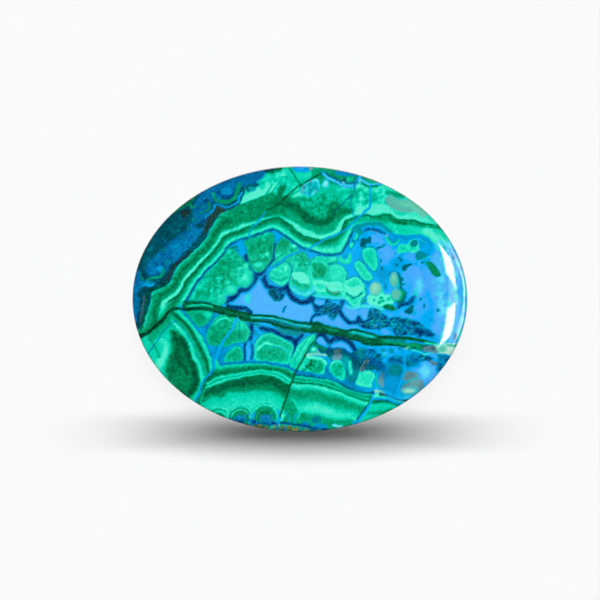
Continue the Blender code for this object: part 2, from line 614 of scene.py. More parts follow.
UPPER_LINE = [
    (-14.9, -1), (-15.1, -0.8), (-15.3, -0.5), (-15, -0.1), (-14.5, 0.2), (-14, 0.55), (-13.5, 1.2),
    (-13, 2.15), (-12.5, 2.9), (-12, 3.4), (-11.5, 4), (-11, 4.5), (-10.5, 5), (-10, 5.4), (-9.6, 6),
    (-9.3, 6.5), (-9, 6.9), (-8.5, 7.35), (-8, 7.6), (-7, 7.95), (-6, 8.35), (-5, 8.65), (-4, 9.1),
    (-3, 9.35), (-2.5, 9.4), (-2.2, 9.25), (-1.5, 8.7), (-1, 8.4), (-0.5, 7.85), (0, 7.55), (0.5, 7.2),
    (1, 7.05), (1.5, 6.9), (2, 6.85), (2.5, 6.9), (3, 7.05), (3.5, 7.2), (4, 7.4), (4.5, 7.8), (4.9, 8.7),
    (5.1, 9), (5.5, 9.1), (6.3, 9.45), (7, 9.6), (7.5, 9.65), (8, 9.5), (8.5, 9.45), (9.5, 9.65), (10, 9.65),
    (10.5, 9.4), (11, 9.15), (12, 9.1), (12.7, 9.1), (13.2, 8.95), (14, 8.7), (14.6, 8.6), (15.2, 8.7),
    (15.6, 8.6), (18, 8.4),
]
UPPER_MINT = [
    (-16, -1.3), (-15.8, -0.2), (-15.2, 0.25), (-14.5, 0.8), (-14, 1.35), (-12.5, 3.5), (-12, 4),
    (-11.5, 4.6), (-10.4, 5.5), (-9.2, 7.4), (-8.6, 7.9), (-8, 8.05), (-7, 8.4), (-6, 8.85), (-5, 9.15),
    (-3, 9.85), (-1.9, 9.95), (-0.5, 8.75), (0.5, 8.1), (1.5, 7.65), (2.5, 7.5), (3.5, 7.75), (4, 8.2),
    (4.5, 9.1), (4.8, 9.45), (6, 9.9), (6.5, 10.2), (7.3, 10.5), (8, 10.6), (9, 10.8), (9.8, 10.6),
    (11, 9.75), (13, 9.7), (14, 9.5), (15.2, 8.95), (18, 8.7),
]
UPPER_EDGE = [
    (-18, -2.8), (-17.6, -1.9), (-17.3, -1.2), (-17.15, -0.5), (-17.05, 0.2), (-16.95, 0.8), (-16.5, 1.1),
    (-16, 1.25), (-15.5, 1.5), (-15, 1.9), (-14.7, 2.3), (-14.5, 2.8), (-14.2, 3.4), (-13.8, 4), (-13, 4.6),
    (-12.7, 5), (-12.4, 5.4), (-12, 5.8), (-11.5, 6.1), (-11, 6.7), (-10.6, 7.3), (-10.3, 8), (-10, 8.3),
    (-9.8, 8.8), (-9.5, 9.3), (-9.1, 9.85), (-8.5, 10.1), (-8, 10.25), (-7.5, 10.45), (-7, 10.8),
    (-6.8, 11.2), (-6.6, 11.7), (-6.3, 12.2), (-6.3, 13), (-5.7, 13.9), (-4.3, 14.3), (-3, 14.35),
    (-2, 14.6), (-1.8, 15.1), (0, 16), (5, 16.5), (10, 16), (15, 13), (18, 10), (20, 9.5),
]
UPPER_TONES = [
    (0, 0.8), (0.1, 0.8), (0.25, 0.92), (0.4, 0.78), (0.5, 0.58), (0.62, 0.45), (0.75, 0.28), (0.86, 0.4),
    (0.92, 0.8), (0.955, 0.3), (0.99, 0.88), (1.03, 0.35), (1.1, 0.85), (1.2, 0.95), (1.8, 0.93),
    (1.9, 0.82), (2, 0.6), (2.12, 0.42), (2.25, 0.38), (2.36, 0.32), (2.46, 0.24), (2.54, 0.3), (2.64, 0.44),
    (2.8, 0.54), (2.88, 0.76), (3, 0.78), (3.2, 0.78),
]
UPPER_FAR = [(40, 4), (40, 40), (-40, 40), (-40, -8)]
UPPER_ZONE = [(-21, -5.2), (-16.5, -3.1), (-14.6, -1), (-13, -0.5), (20, 3), (20, 16), (-21, 16)]
UPPER_GUIDES = [UPPER_CONTACT, UPPER_LINE, UPPER_MINT, UPPER_EDGE]
slab.bands(UPPER_GUIDES, UPPER_FAR, UPPER_TONES, UPPER_ZONE, CRACK_LEAD)
RIGHT_END = [
    # mineral, tone, width, route, softness
    (GREEN, 0.77, 1.2, [(9.6, 8.5), (10.6, 8.2), (12, 8.05), (13.2, 8.15), (14.2, 7.9), (15.2, 7.2),
        (16.2, 6.2), (17.2, 5.4)], 0.25),
    (GREEN, 0.8, 1.6, [(13.6, 8), (14.8, 7.8), (16.6, 6.5), (17.4, 6)], 0.25),
    (GREEN, 0.6, 0.7, [(5.6, 8.8), (7, 9.1), (8.6, 9), (9.6, 9)], 0.25),
    (GREEN, 0.85, 0.12, [(7, 9.5), (8, 9.38), (9, 9.38), (10, 9.5), (11.2, 9.05), (12.6, 8.98),
        (13.6, 8.75)], 0.1),
    (GREEN, 0.4, 0.3, [(8.6, 9.1), (9.6, 9.2), (10.2, 9.15), (10.8, 8.85)], 0.18),
    (GREEN, 0.26, 0.36, [(10.2, 9.05), (11, 8.78), (12, 8.68)], 0.15),
    (GREEN, 0.42, 0.34, [(12.2, 8.7), (13.2, 8.6), (14.2, 8.35), (15.2, 8.3), (15.8, 8.2)], 0.18),
    (GREEN, 0.97, 0.8, [(14.2, 7.8), (15, 7.2), (15.8, 6.3), (16.3, 5.7)], 0.3),
]
for mineral, tone, width, route, soft in RIGHT_END:
    slab.vein(mineral, tone, width, route, soft)
slab.vein(GREEN, 0.12, 0.16, beside(UPPER_LINE[3:], -0.08), soft=0.09)  # a thin dark line along the band
print("guide lines of the upper band:", len(UPPER_GUIDES))

# %% [markdown]
# Above the band's bright stripe the green loses its order: waves, streaks and lenses lie
# across each other towards the rim. These are laid one by one, in growth order.

# %% Streaks and lenses above the band
ABOVE_BAND = [
    # what, mineral, tone, width or rim, route or outline
    ("vein", GREEN, 0.38, 2.6, [(-6, 10.2), (-4, 10.7), (-2, 10.8), (0, 10), (2, 9.8), (4, 10.4)]),
    ("vein", GREEN, 0.42, 1.4, [(-7.6, 9.6), (-5, 10.4), (-3, 11.2)]),
    ("patch", GREEN, 0.8, None, [(-7, 11), (-6.3, 12), (-6.2, 13), (-5.4, 13.9), (-3.6, 14.4), (-2.2, 14.8),
        (0.6, 15), (1.2, 13.9), (0, 13.2), (-1.2, 12.2), (-2.4, 11.6), (-3.4, 12.2), (-5, 11.5),
        (-6, 11.1)]),
    ("patch", GREEN, 0.97, None, [(-7.1, 10.95), (-6, 12.1), (-4.3, 13.1), (-3.4, 13.5), (-2.7, 13.3),
        (-3, 12.6), (-3.8, 12), (-6, 11.2)]),
    ("vein", GREEN, 0.3, 0.75, [(-1.8, 13.6), (-2.1, 12.7), (-2.4, 11.8), (-2.6, 11.2)]),
    ("vein", GREEN, 0.52, 0.14, [(-2.4, 14.2), (-3.8, 12.2), (-4.4, 11.2), (-4.9, 10.5)]),
    ("vein", GREEN, 0.55, 0.12, [(-2.1, 13.9), (-2.7, 13), (-3.4, 12)]),
    ("vein", GREEN, 0.66, 2.2, [(-0.6, 12.6), (2, 12.2), (4.4, 12), (6, 11.4)]),
    ("vein", GREEN, 0.8, 1.3, [(4.6, 12.3), (7, 12.9), (9.6, 12.2), (12, 11.9)]),
    ("vein", GREEN, 0.62, 2, [(5.2, 11.6), (7, 11.6), (9, 11.6), (11, 12.2)]),
    ("vein", GREEN, 0.95, 0.9, [(6.6, 10.3), (8.4, 10.6), (10, 10.5)]),
    ("vein", GREEN, 0.9, 0.8, [(10.6, 10.3), (12.4, 10), (14.6, 9.6)]),
    ("vein", GREEN, 0.88, 1, [(6.6, 13), (8, 12.75), (9.2, 12.7), (10.4, 12.4), (11.6, 11.9), (12.8, 11.2),
        (14.8, 9.7), (15.4, 9)]),
    ("vein", GREEN, 0.52, 1.5, [(-0.4, 11.4), (1.8, 10.1), (2.5, 10), (3, 10.6)]),
    ("vein", GREEN, 0.22, 0.85, [(-3, 10.9), (-2, 10.95), (-1.2, 10.65), (-0.4, 10.4), (0.8, 9.2),
        (1.6, 8.8), (2.4, 8.65), (3, 8.9), (3.4, 9.4), (3.5, 9.9)]),
    ("vein", GREEN, 0.32, 0.4, [(3.3, 9.8), (3.3, 10.5), (3.6, 11), (4.2, 10.9)]),
    ("vein", GREEN, 0.5, 0.5, [(-1.6, 9.9), (-0.4, 9.2), (0.6, 8.5), (2, 8.1), (3.2, 8.3), (4, 9)]),
    ("vein", GREEN, 0.3, 0.55, [(4.2, 10.2), (5, 10), (5.7, 10.1)]),
    ("vein", GREEN, 0.42, 0.6, [(5.8, 11.6), (6.6, 12.2), (7.5, 12.2), (7.8, 12.1)]),
    ("vein", GREEN, 0.45, 0.5, [(6.5, 11), (7.5, 11.2), (9, 11.9), (10, 12.1)]),
    ("vein", GREEN, 0.5, 0.5, [(8.2, 12), (10, 12), (11.6, 11.8)]),
    ("vein", GREY, 0.78, 0.9, [(10.1, 11.4), (10.9, 11), (12.8, 10.5), (13.8, 9.9)]),
    ("vein", GREY, 0.7, 0.7, [(9.9, 11.2), (10.6, 10.7), (11.5, 10.3), (12.4, 10.2)]),
    ("vein", GREY, 0.82, 0.8, [(11.6, 10.9), (12.6, 10.7), (13.4, 10.2), (13.9, 9.7)]),
    ("patch", GREEN, 0.97, None, [(-1.1, 12.3), (-0.8, 13.1), (-0.3, 13.4), (-0.1, 13), (-0.4, 12.5)]),
    ("patch", GREEN, 0.93, None, [(-1, 11.6), (-0.4, 12.3), (0.3, 12.1), (0.9, 11.5), (0, 11.7)]),
    ("patch", TEAL, 0.76, 0.96, [(0.1, 12.7), (0.6, 13.2), (1.2, 13.6), (1.8, 13.7), (2.1, 13.2),
        (2.1, 12.7), (1.3, 11.8), (0.1, 12.2)]),
    ("spot", GREY, 0.6, 0.7, [(0.5, 12.4), (0.5, 0.4)]), ("spot", TEAL, 0.6, 0.6, [(1.2, 13), (0.4, 0.35)]),
    ("spot", BLUE, 0.66, 0.6, [(0.9, 12), (0.2, 0.25)]),
    ("patch", TEAL, 0.52, 0.3, [(-6.2, 13.2), (-5.6, 13.8), (-5.2, 13.6), (-4.9, 13.3), (-4.1, 13.3),
        (-4.6, 13), (-5.3, 12.8), (-5.9, 12.3), (-6.2, 12.5)]),
    ("spot", TEAL, 0.66, 0.5, [(-5.5, 12.6), (0.45, 0.3)]),
    ("spot", TEAL, 0.95, 0.5, [(2.8, 13.15), (0.42, 0.5)]),
    ("patch", GREEN, 0.3, 0.12, [(-4.4, 14.5), (-3.9, 14.25), (-3, 14.25), (-2.3, 14.6), (-2.2, 15.2),
        (-4, 15)]),
    ("spot", BLUE, 0.62, 0.4, [(0.1, 14.95), (1, 0.5)]),
    ("spot", BLUE, 0.86, 0.5, [(0, 15.05), (0.45, 0.25)]),
    ("spot", EARTH, 1, 0.5, [(1.1, 14.85), (0.2, 0.16)]),
]


def lay_marks(marks):
    """Lay a list of mixed marks, in order."""
    for what, mineral, tone, extra, route in marks:
        if what == "vein":
            widest = max(extra) if isinstance(extra, tuple) else extra
            slab.vein(mineral, tone, extra, route, soft=min(0.25, max(CRISP, widest / 4)))
        elif what == "patch":
            slab.patch(mineral, tone, route, rim=extra)
        else:
            (x, y), (wide, high) = route
            slab.spot(mineral, tone, x, y, wide, high, soft=extra)


lay_marks(ABOVE_BAND)
FLECKED = [
    # grains, outline, size, count, seed
    ([0.3, 0.46, 0.72, 0.8], [(-0.4, 11.6), (0.6, 10), (1.6, 9.4), (2.8, 9.4), (3.2, 11), (5.6, 11.4),
        (2, 12)], 0.15, 260, 95),
    ([0.28, 0.36, 0.55], [(-9.6, 9.2), (-5, 9.9), (-2.4, 10.4), (-3, 11.6), (-7, 10.8), (-9.4, 9.9)], 0.16,
        260, 96),
    ([0.26, 0.34, 0.55], [(-17, -2), (-12, 4.7), (-10.2, 8), (-11, 6.5), (-14.4, 2.8), (-17, 0.9)], 0.17,
        330, 97),
    ([0.6, 0.88, 0.97], [(4.6, 11.4), (6, 10.6), (10, 11), (9.6, 12.6), (7, 13), (4.8, 12.8)], 0.2, 180, 98),
    ([0.66, 0.76, 0.95], [(-5, 12.6), (-2.4, 13.2), (-0.6, 12.6), (0, 13.2), (-2, 14.6), (-4.6, 14)], 0.22,
        130, 99),
]
for tones, outline, size, count, seed in FLECKED:
    slab.scatter([(GREEN, tone) for tone in tones], outline, size, count, seed, soft=0.6, strength=0.55)
slab.scatter([(TEAL, 0.6), (TEAL, 0.9), (GREY, 0.6), (TEAL, 0.74)], [
    (0.1, 12.7), (1.2, 13.6), (2.1, 13.2), (1.8, 12.2), (1.2, 11.8), (0.1, 12.2)], 0.16, 60, 94)
print("marks above the band:", len(ABOVE_BAND))

# %% [markdown]
# Where the band meets the rock that the cavity formed in, at the upper left, it stops at
# a narrow brown-grey border. Beyond it lies dark blue and teal rock with rings of green.

# %% Dark rock at the upper left
ROCK_OUTLINE = [(-21, -4)] + UPPER_EDGE[:36] + [(-2.4, 15.6), (-8, 18), (-22, 14)]
slab.patch(TEAL, 0.27, ROCK_OUTLINE)
ROCK_MARKS = [
    ("vein", BLUE, 0.36, 1.7, [(-16.8, 3.5), (-14.2, 6), (-13, 7), (-12, 8), (-11.3, 9.2), (-11.3, 10.5),
        (-10.5, 11.8), (-9, 12.5), (-7, 13.6), (-5, 14.3)]),
    ("vein", BLUE, 0.42, 0.9, [(-16.6, 3.4), (-15.3, 4.2), (-13.9, 5.2), (-11.9, 7.6)]),
    ("vein", BLUE, 0.38, 1, [(-18.5, 2.8), (-18.7, 0), (-18.7, -1.4), (-18.5, -2.6)]),
    ("vein", BLUE, 0.44, 0.6, [(-18, 1.8), (-17, 2), (-16.2, 2.1), (-15.4, 2.7), (-14.9, 4)]),
    ("vein", TEAL, 0.22, 0.8, [(-18.2, 0.6), (-17.6, 1.1), (-16.6, 1.6), (-15.8, 1.9), (-14.9, 3),
        (-14.5, 3.8)]),
    ("vein", TEAL, 0.22, 0.8, [(-18.3, -2.8), (-17.9, -0.4), (-17.75, 0.6), (-17.3, 1.3)]),
    ("vein", GREY, 0, 0.3, [(-18.2, -2.4), (-18, -1.4), (-17.9, -0.4), (-17.8, 0.4)]),
    ("vein", GREEN, 0.08, 0.24, [(-18.2, -3.4), (-17.9, -2.2), (-17.6, -1.4), (-17.55, -0.4), (-17.4, 0.6),
        (-17, 1.1), (-16.2, 1.4), (-15.6, 1.75), (-15.1, 2.3)]),
    ("vein", EARTH, 0.14, 0.35, [(-15.1, 2.3), (-14.3, 3.9), (-12.9, 5.05), (-12.4, 5.7)]),
    ("vein", TEAL, 0.3, 0.3, [(-13.2, 5), (-12.5, 5.7), (-11.7, 6.3), (-11.2, 6.9), (-10.8, 7.7)]),
    ("patch", EARTH, 0.22, None, [(-10.9, 8.9), (-10.2, 9.8), (-9.7, 10.7), (-8.9, 10.4), (-8.6, 10.2),
        (-9.2, 9.8), (-9.7, 9.2), (-10.7, 7.6), (-11, 7.3)]),
    ("patch", EARTH, 0.1, None, [(-13.7, 10.1), (-13, 10.25), (-12.3, 9.9), (-12.8, 9.8), (-12.9, 9.4),
        (-13.3, 9.3)]),
    ("vein", TEAL, 0.24, 0.16, [(-17, 2.25), (-16.3, 2.3), (-15.8, 2.65), (-15.5, 3.1), (-15.4, 3.6)]),
    ("vein", GREEN, 0.5, (0.2, 0.32), [(-17.5, 2.3), (-16.8, 2.55), (-16.2, 2.55), (-15.8, 2.9),
        (-15.6, 3.4)]),
    ("vein", GREEN, 0.42, 0.25, [(-18.2, 3), (-18.15, 2.6), (-17.9, 2.35)]),
    ("vein", BLUE, 0.66, 0.3, [(-17.6, 1.75), (-17.1, 1.65), (-16.75, 1.8)]),
    ("spot", TEAL, 0.9, 0.8, [(-16.05, 3.55), (0.2, 0.25)]),
    ("spot", TEAL, 0.62, 0.7, [(-17.1, 2.05), (0.4, 0.2)]),
    ("spot", BLUE, 0.46, 0.6, [(-14.2, 6.35), (0.55, 0.5)]),
    ("vein", TEAL, 0.42, 0.12, [(-14.9, 6.2), (-14.5, 5.8), (-13.9, 5.85), (-13.5, 6.3)]),
    ("spot", TEAL, 0.4, 0.7, [(-17.6, 4.4), (0.35, 0.5)]),
    ("vein", TEAL, 0.55, 0.12, [(-16.9, 7.2), (-16.7, 6.4), (-16.9, 5.6)]),
    ("vein", TEAL, 0.5, 0.14, [(-14.8, 8.6), (-14.7, 8), (-14.2, 7.6)]),
    ("vein", GREEN, 0.45, 0.45, [(-9.9, 12), (-9.7, 11.5), (-9.2, 11.2), (-8.4, 11.1), (-7.7, 11.4),
        (-7.3, 11.9), (-7, 13.1)]),
    ("vein", BLUE, 0.15, 0.3, [(-9.3, 12.2), (-8.9, 11.7), (-8.2, 11.6), (-7.7, 12.1)]),
    ("spot", BLUE, 0.5, 0.4, [(-8.4, 12.3), (0.7, 0.45)]),
    ("vein", GREEN, 0.4, 0.25, [(-12.6, 10.9), (-12.4, 10.5), (-11.8, 10.5), (-11, 10.6)]),
    ("vein", GREEN, 0.35, 0.25, [(-11.8, 10), (-11.4, 9.8), (-10.8, 10), (-10.4, 10.5), (-10.7, 11.5)]),
    ("vein", BLUE, 0.66, 0.22, [(-10.9, 9.3), (-10.5, 9.7), (-10, 10.1), (-9.8, 10.7), (-9.3, 10.8),
        (-8.5, 10.5), (-7.8, 10.7), (-7.1, 11.1), (-7, 11.7), (-6.6, 12.2)]),
    ("vein", GREEN, 0.3, 0.3, [(-14.5, 9.9), (-13, 10.8), (-12, 11.7)]),
    ("spot", TEAL, 0.6, 0.5, [(-12.7, 8.2), (0.3, 0.25)]),
    ("spot", TEAL, 0.6, 0.5, [(-12.1, 9.1), (0.25, 0.3)]),
    ("spot", TEAL, 0.55, 0.5, [(-15.6, 5.7), (0.35, 0.25)]),
    ("vein", TEAL, 0.5, 0.25, [(-17.3, 5.6), (-16.7, 6.3), (-16.2, 6.6)]),
]
lay_marks(ROCK_MARKS)
ROCK_GRAINS = [
    (TEAL, 0.16), (TEAL, 0.4), (BLUE, 0.3), (BLUE, 0.46), (GREEN, 0.25),
]
slab.scatter(ROCK_GRAINS, [
    (-18.9, -3), (-18.9, 3), (-16, 8), (-8, 13.5), (-10, 10), (-13, 6), (-17.8, 1)], 0.3, 420, 31,
             soft=0.7, strength=0.4)
print("marks in the rock:", len(ROCK_MARKS))

# %% [markdown]
# At the top of the rim the next cavity begins with small green scallops, each with a
# thin bright edge of chrysocolla.

# %% Scallops at the top
SCALLOPS = [
    ("vein", BLUE, 0.5, 0.5, [(4, 14.35), (5, 14.3), (6, 14.1)]),
    ("vein", BLUE, 0.4, 0.35, [(2.3, 14.5), (3, 14.05), (4.7, 13.2), (5.4, 13.05), (6, 13.25), (6.4, 13.6)]),
    ("patch", GREEN, 0.45, None, [(3, 14.4), (3.6, 13.9), (4.3, 13.7), (4.8, 13.3), (5.9, 13.5), (6, 14),
        (5.5, 14.1), (5.1, 13.9), (4.2, 14.1), (3.6, 14.3)]),
    ("patch", GREEN, 0.62, 0.5, [(7.2, 13.9), (7.5, 13.4), (8.1, 13.2), (8.7, 13.3), (8, 13.7)]),
    ("vein", BLUE, 0.68, 0.36, [(2.4, 14.35), (2.9, 13.95), (3.6, 13.55), (4.1, 13.45), (4.6, 13.1),
        (5.2, 12.95), (5.9, 13), (6.4, 13.4), (6.5, 13.8)]),
    ("vein", TEAL, 0.97, 0.16, [(2.5, 14.3), (3, 13.9), (3.6, 13.6), (4.1, 13.45), (4.6, 13.15), (5.2, 13),
        (5.8, 13.05)]),
    ("vein", BLUE, 0.66, 0.32, [(6.7, 13.9), (7, 13.5), (7.5, 13.1), (8.2, 12.95), (8.9, 13.1),
        (9.2, 13.3)]),
    ("vein", TEAL, 0.25, 0.12, [(2.7, 14.5), (3.3, 14), (4, 13.8), (4.6, 13.45), (5.2, 13.3), (5.9, 13.4)]),
    ("spot", TEAL, 0.34, 0.5, [(5, 13.6), (0.25, 0.2)]),
    ("spot", GREY, 0.9, 0.5, [(4.9, 13.35), (0.2, 0.1)]),
    ("spot", GREEN, 0.66, 0.6, [(5.55, 13.7), (0.35, 0.3)]),
    ("vein", TEAL, 0.97, 0.14, [(6.6, 13.9), (6.9, 13.55), (7.5, 13.15), (8.2, 13), (8.9, 13.15)]),
    ("vein", GREEN, 0.2, 0.14, [(6, 13.1), (6.5, 13.45), (7.4, 13), (8, 12.85), (8.8, 12.9)]),
    ("spot", GREY, 0.97, 0.5, [(6.65, 13.5), (0.12, 0.14)]),
]
lay_marks(SCALLOPS)
print("marks in the scallops:", len(SCALLOPS))

# %% [markdown]
# The fan at the lower left and the arches at the bottom grew from the same walls, and
# are cut off from each other by a vein and by a crack.

# %% The fan at the lower left
FAN_CONTACT = [
    (-13.6, -1.15), (-12.9, -1.8), (-12.2, -2.7), (-11.1, -4.1), (-10.8, -4.8), (-10.05, -6.4),
    (-9.95, -7.2), (-10, -8), (-10.3, -8.6),
]
FAN_LINE = [
    (-14.5, -1.55), (-13.9, -2), (-12.7, -3.3), (-11.8, -4.9), (-11.4, -5.9), (-10.9, -6.8), (-10.6, -7.6),
    (-10.45, -8.3),
]
FAN_MINT = [(-15, -2.3), (-14.3, -3), (-13.1, -4.6), (-12.5, -6.2), (-11.7, -7.8), (-11.4, -9.3)]
FAN_TONES = [
    (0, 0.7), (0.2, 0.76), (0.35, 0.84), (0.58, 0.76), (0.7, 0.38), (0.85, 0.2), (1.05, 0.22), (1.18, 0.5),
    (1.33, 0.62), (1.41, 0.35), (1.48, 0.6), (1.6, 0.88), (1.7, 0.78), (1.8, 0.92), (1.93, 0.86),
    (2.02, 0.62), (2.2, 0.62), (2.5, 0.7), (3.5, 0.74), (9, 0.78),
]
FAN_FAR = [(-10.3, -30), (-40, -30), (-40, 0), (-18, 0)]
FAN_ZONE = [
    (-13.4, -1.1), (-9.9, -6), (-9.9, -7.6), (-10.2, -8.2), (-10.8, -8.9), (-11.3, -9.7), (-11.5, -10.6),
    (-12, -11.6), (-13, -14), (-21, -14), (-21, -5.2), (-18, -4), (-16.5, -3.1), (-15.5, -2), (-14.6, -1.05),
]
slab.bands([FAN_CONTACT, FAN_LINE, FAN_MINT], FAN_FAR, FAN_TONES, FAN_ZONE)
FAN_HEART = [
    (-14.9, -3.6), (-14.2, -3.5), (-13.5, -4), (-13, -4.8), (-12.3, -6.9), (-11.8, -7.7), (-11.6, -8.7),
    (-11.5, -9.4), (-11.9, -10.2), (-12.4, -11), (-13, -11.2), (-14, -10.2), (-15, -9), (-15.4, -8.3),
    (-15.2, -7.3), (-14.7, -5.7), (-14.5, -5), (-14.7, -4.3),
]
slab.patch(GREEN, 0.24, FAN_HEART, soft=0.3, rim=0.4, rim_width=0.35)
slab.vein(TEAL, 0.62, 0.12, beside(FAN_LINE, -0.52), soft=0.09, strength=0.7)
slab.scatter([(GREEN, 0.42), (GREEN, 0.34)], [
    (-14.3, -7.8), (-12.8, -7.6), (-12.2, -9), (-12.8, -10.2), (-14.2, -9.8)], 0.14, 170, 61)
slab.scatter([(GREEN, 0.3), (GREEN, 0.16)], FAN_HEART, 0.2, 260, 62, strength=0.5)
FAN_MARKS = [
    ("spot", GREEN, 0.34, 0.8, [(-13.4, -9), (0.9, 1.1)]),
    ("vein", GREEN, 0.14, 0.4, [(-14.4, -3.8), (-14, -4.6), (-13.9, -5.6), (-14.1, -6.5), (-13.4, -7.4),
        (-12.9, -8.4)]),
    ("vein", GREEN, 0.14, 0.6, [(-13.6, -4.4), (-13, -5.6), (-12.1, -8.2), (-12, -9.4), (-12.5, -10.4)]),
    ("vein", GREEN, 0.96, (0.5, 0.9), [(-15.3, -5), (-15.4, -5.9), (-15.9, -7), (-16.4, -7.8)]),
    ("vein", GREEN, 0.88, 0.5, [(-16.4, -4.6), (-15.6, -4.6), (-15.2, -5.2)]),
    ("vein", GREEN, 0.58, 0.35, [(-17.2, -4.4), (-16.4, -5.6), (-16, -6.4)]),
    ("vein", GREEN, 0.52, 0.8, [(-16.9, -4.3), (-15.9, -3.2), (-15, -2.2)]),
]
lay_marks(FAN_MARKS)

# %% The arches along the bottom
ARCH_CONTACT = [
    (-10.3, -6.2), (-9.5, -6.6), (-9.1, -7.35), (-8.5, -7.25), (-6.5, -7.15), (-4.5, -7.1), (-3.5, -7.2),
    (-2, -7.55), (-0.4, -8.2),
]
ARCH_LINE = [
    (-10.6, -9.2), (-9, -8.4), (-7, -8.1), (-5, -7.8), (-3, -7.9), (-2, -8.2), (-1.2, -8.7), (-0.6, -9),
]
ARCH_MINT = [
    (-10.8, -9.6), (-9, -8.8), (-7, -8.5), (-5, -8.15), (-4, -8.1), (-3, -8.25), (-2, -8.7), (-1.2, -9.3),
    (-0.6, -9.6),
]
ARCH_TOP = [
    (-11, -10.2), (-9, -9.4), (-8, -9.1), (-7, -8.95), (-5, -8.55), (-4, -8.5), (-3, -8.7), (-2.2, -9.2),
    (-1.3, -9.7), (-0.6, -10),
]
ARCH_FOOT = [
    (-12, -11.8), (-11, -11.4), (-10, -10.9), (-9, -10.9), (-8.5, -10.4), (-7.5, -10.3), (-6.5, -10.3),
    (-4.5, -10.1), (-3.5, -10.2), (-2.7, -10.5), (-1, -11.4),
]
ARCH_TONES = [
    (0, 0.72), (0.2, 0.8), (0.35, 0.74), (0.55, 0.45), (0.85, 0.28), (1.2, 0.26), (1.4, 0.55), (1.7, 0.86),
    (2, 0.86), (2.22, 0.5), (2.38, 0.58), (2.55, 0.9), (2.8, 0.84), (2.95, 0.5), (3.05, 0.2), (3.5, 0.16),
    (3.7, 0.28), (3.85, 0.4), (3.95, 0.34), (4.1, 0.52), (4.3, 0.7), (4.9, 0.78), (5.6, 0.84), (7, 0.84),
]
ARCH_FAR = [(5, -40), (-20, -40)]
ARCH_ZONE = [
    (-9.9, -6), (-9.9, -7.6), (-10.2, -8.2), (-10.8, -8.9), (-11.3, -9.7), (-11.5, -10.6), (-12, -11.6),
    (-13, -15), (-2.6, -17), (-2.3, -13.2), (-2.1, -12.3), (-1.2, -9.8), (-0.6, -8.3), (-1, -7), (-4, -6.4),
    (-8, -6.4),
]
slab.bands([ARCH_CONTACT, ARCH_LINE, ARCH_MINT, ARCH_TOP, ARCH_FOOT], ARCH_FAR, ARCH_TONES, ARCH_ZONE)

RIGHT_CONTACT = [
    (-0.9, -8.5), (1.5, -8.65), (3.5, -9.1), (4.3, -9.4), (5, -9.8), (6.6, -10.4), (7.5, -10.5),
    (8.2, -10.5),
]
RIGHT_LINE = [(-0.9, -9.25), (0, -9.4), (2, -9.6), (4, -10.15), (7, -11.25), (8, -11.35)]
RIGHT_MINT = [(-1.2, -10.1), (1, -10.15), (2, -10.35), (3, -10.5), (4, -10.8), (6, -11.6), (7.6, -12)]
RIGHT_FOOT = [(-1.6, -12.9), (0, -12.8), (2, -13.1), (3, -13.4), (4, -13.5), (5, -13.5), (6.6, -13.9)]
RIGHT_TONES = [
    (0, 0.4), (0.12, 0.7), (0.3, 0.78), (0.42, 0.66), (0.54, 0.34), (0.66, 0.42), (0.78, 0.8), (0.9, 0.84),
    (0.97, 0.5), (1.05, 0.74), (1.15, 0.55), (1.22, 0.8), (1.35, 0.92), (1.75, 0.86), (2, 0.68), (2.1, 0.5),
    (2.22, 0.42), (2.34, 0.52), (2.5, 0.62), (2.7, 0.8), (2.85, 0.93), (2.95, 0.8), (3, 0.6), (3.3, 0.5),
    (5, 0.5),
]
RIGHT_FAR = [(20, -40), (-20, -40)]
RIGHT_ZONE = [
    (-0.6, -8.3), (-2.1, -12.3), (-2.3, -13.2), (-2.6, -17), (5.2, -17), (6, -14.1), (7, -13), (7.9, -11.6),
    (8.2, -10.5), (7, -9.6), (3, -8.2),
]
slab.bands([RIGHT_CONTACT, RIGHT_LINE, RIGHT_MINT, RIGHT_FOOT], RIGHT_FAR, RIGHT_TONES, RIGHT_ZONE)
slab.vein(GREEN, 0.14, 0.16, beside(RIGHT_LINE, -0.05), soft=0.09)
print("guides: fan 3, left arch 5, right arch 4")

# %% [markdown]
# Below the arches the growth starts again from many small centres, so the bands close
# into rings, with brown and gold earth caught between them.

# %% Rings and small marks at the bottom
RINGS = [
    # x, y, then tones at the listed distances in millimetres
    (-9.4, -13.9, [(0.8, 0.5), (1, 0.25), (1.15, 0.75), (1.25, 0.95), (1.4, 0.5), (1.52, 0.6), (1.64, 0.95),
        (1.75, 0.8)]),
    (-6.9, -13.5, [(0.3, 0.2), (0.6, 0.35), (0.75, 0.45), (0.85, 0.15), (1, 0.8), (1.1, 0.9), (1.2, 0.35),
        (1.34, 0.5), (1.46, 0.96), (1.6, 0.7), (1.72, 0.92)]),
    (-4.1, -13.4, [(0.5, 0.3), (0.75, 0.25), (0.9, 0.5), (1, 0.5), (1.12, 0.3), (1.25, 0.55), (1.38, 0.72),
        (1.5, 0.97), (1.62, 0.6), (1.72, 0.95)]),
]
for ring_x, ring_y, steps in RINGS:
    where = slab.near([(ring_x, ring_y)], 1.9)
    away = np.hypot(slab.x[where] - ring_x, slab.y[where] - ring_y)
    cover = fade(1.75 - away, 0.12) * fade(slab.y[where] + 14.3, 0.4)
    slab.lay(where, cover, GREEN, np.interp(away, *zip(*steps)))
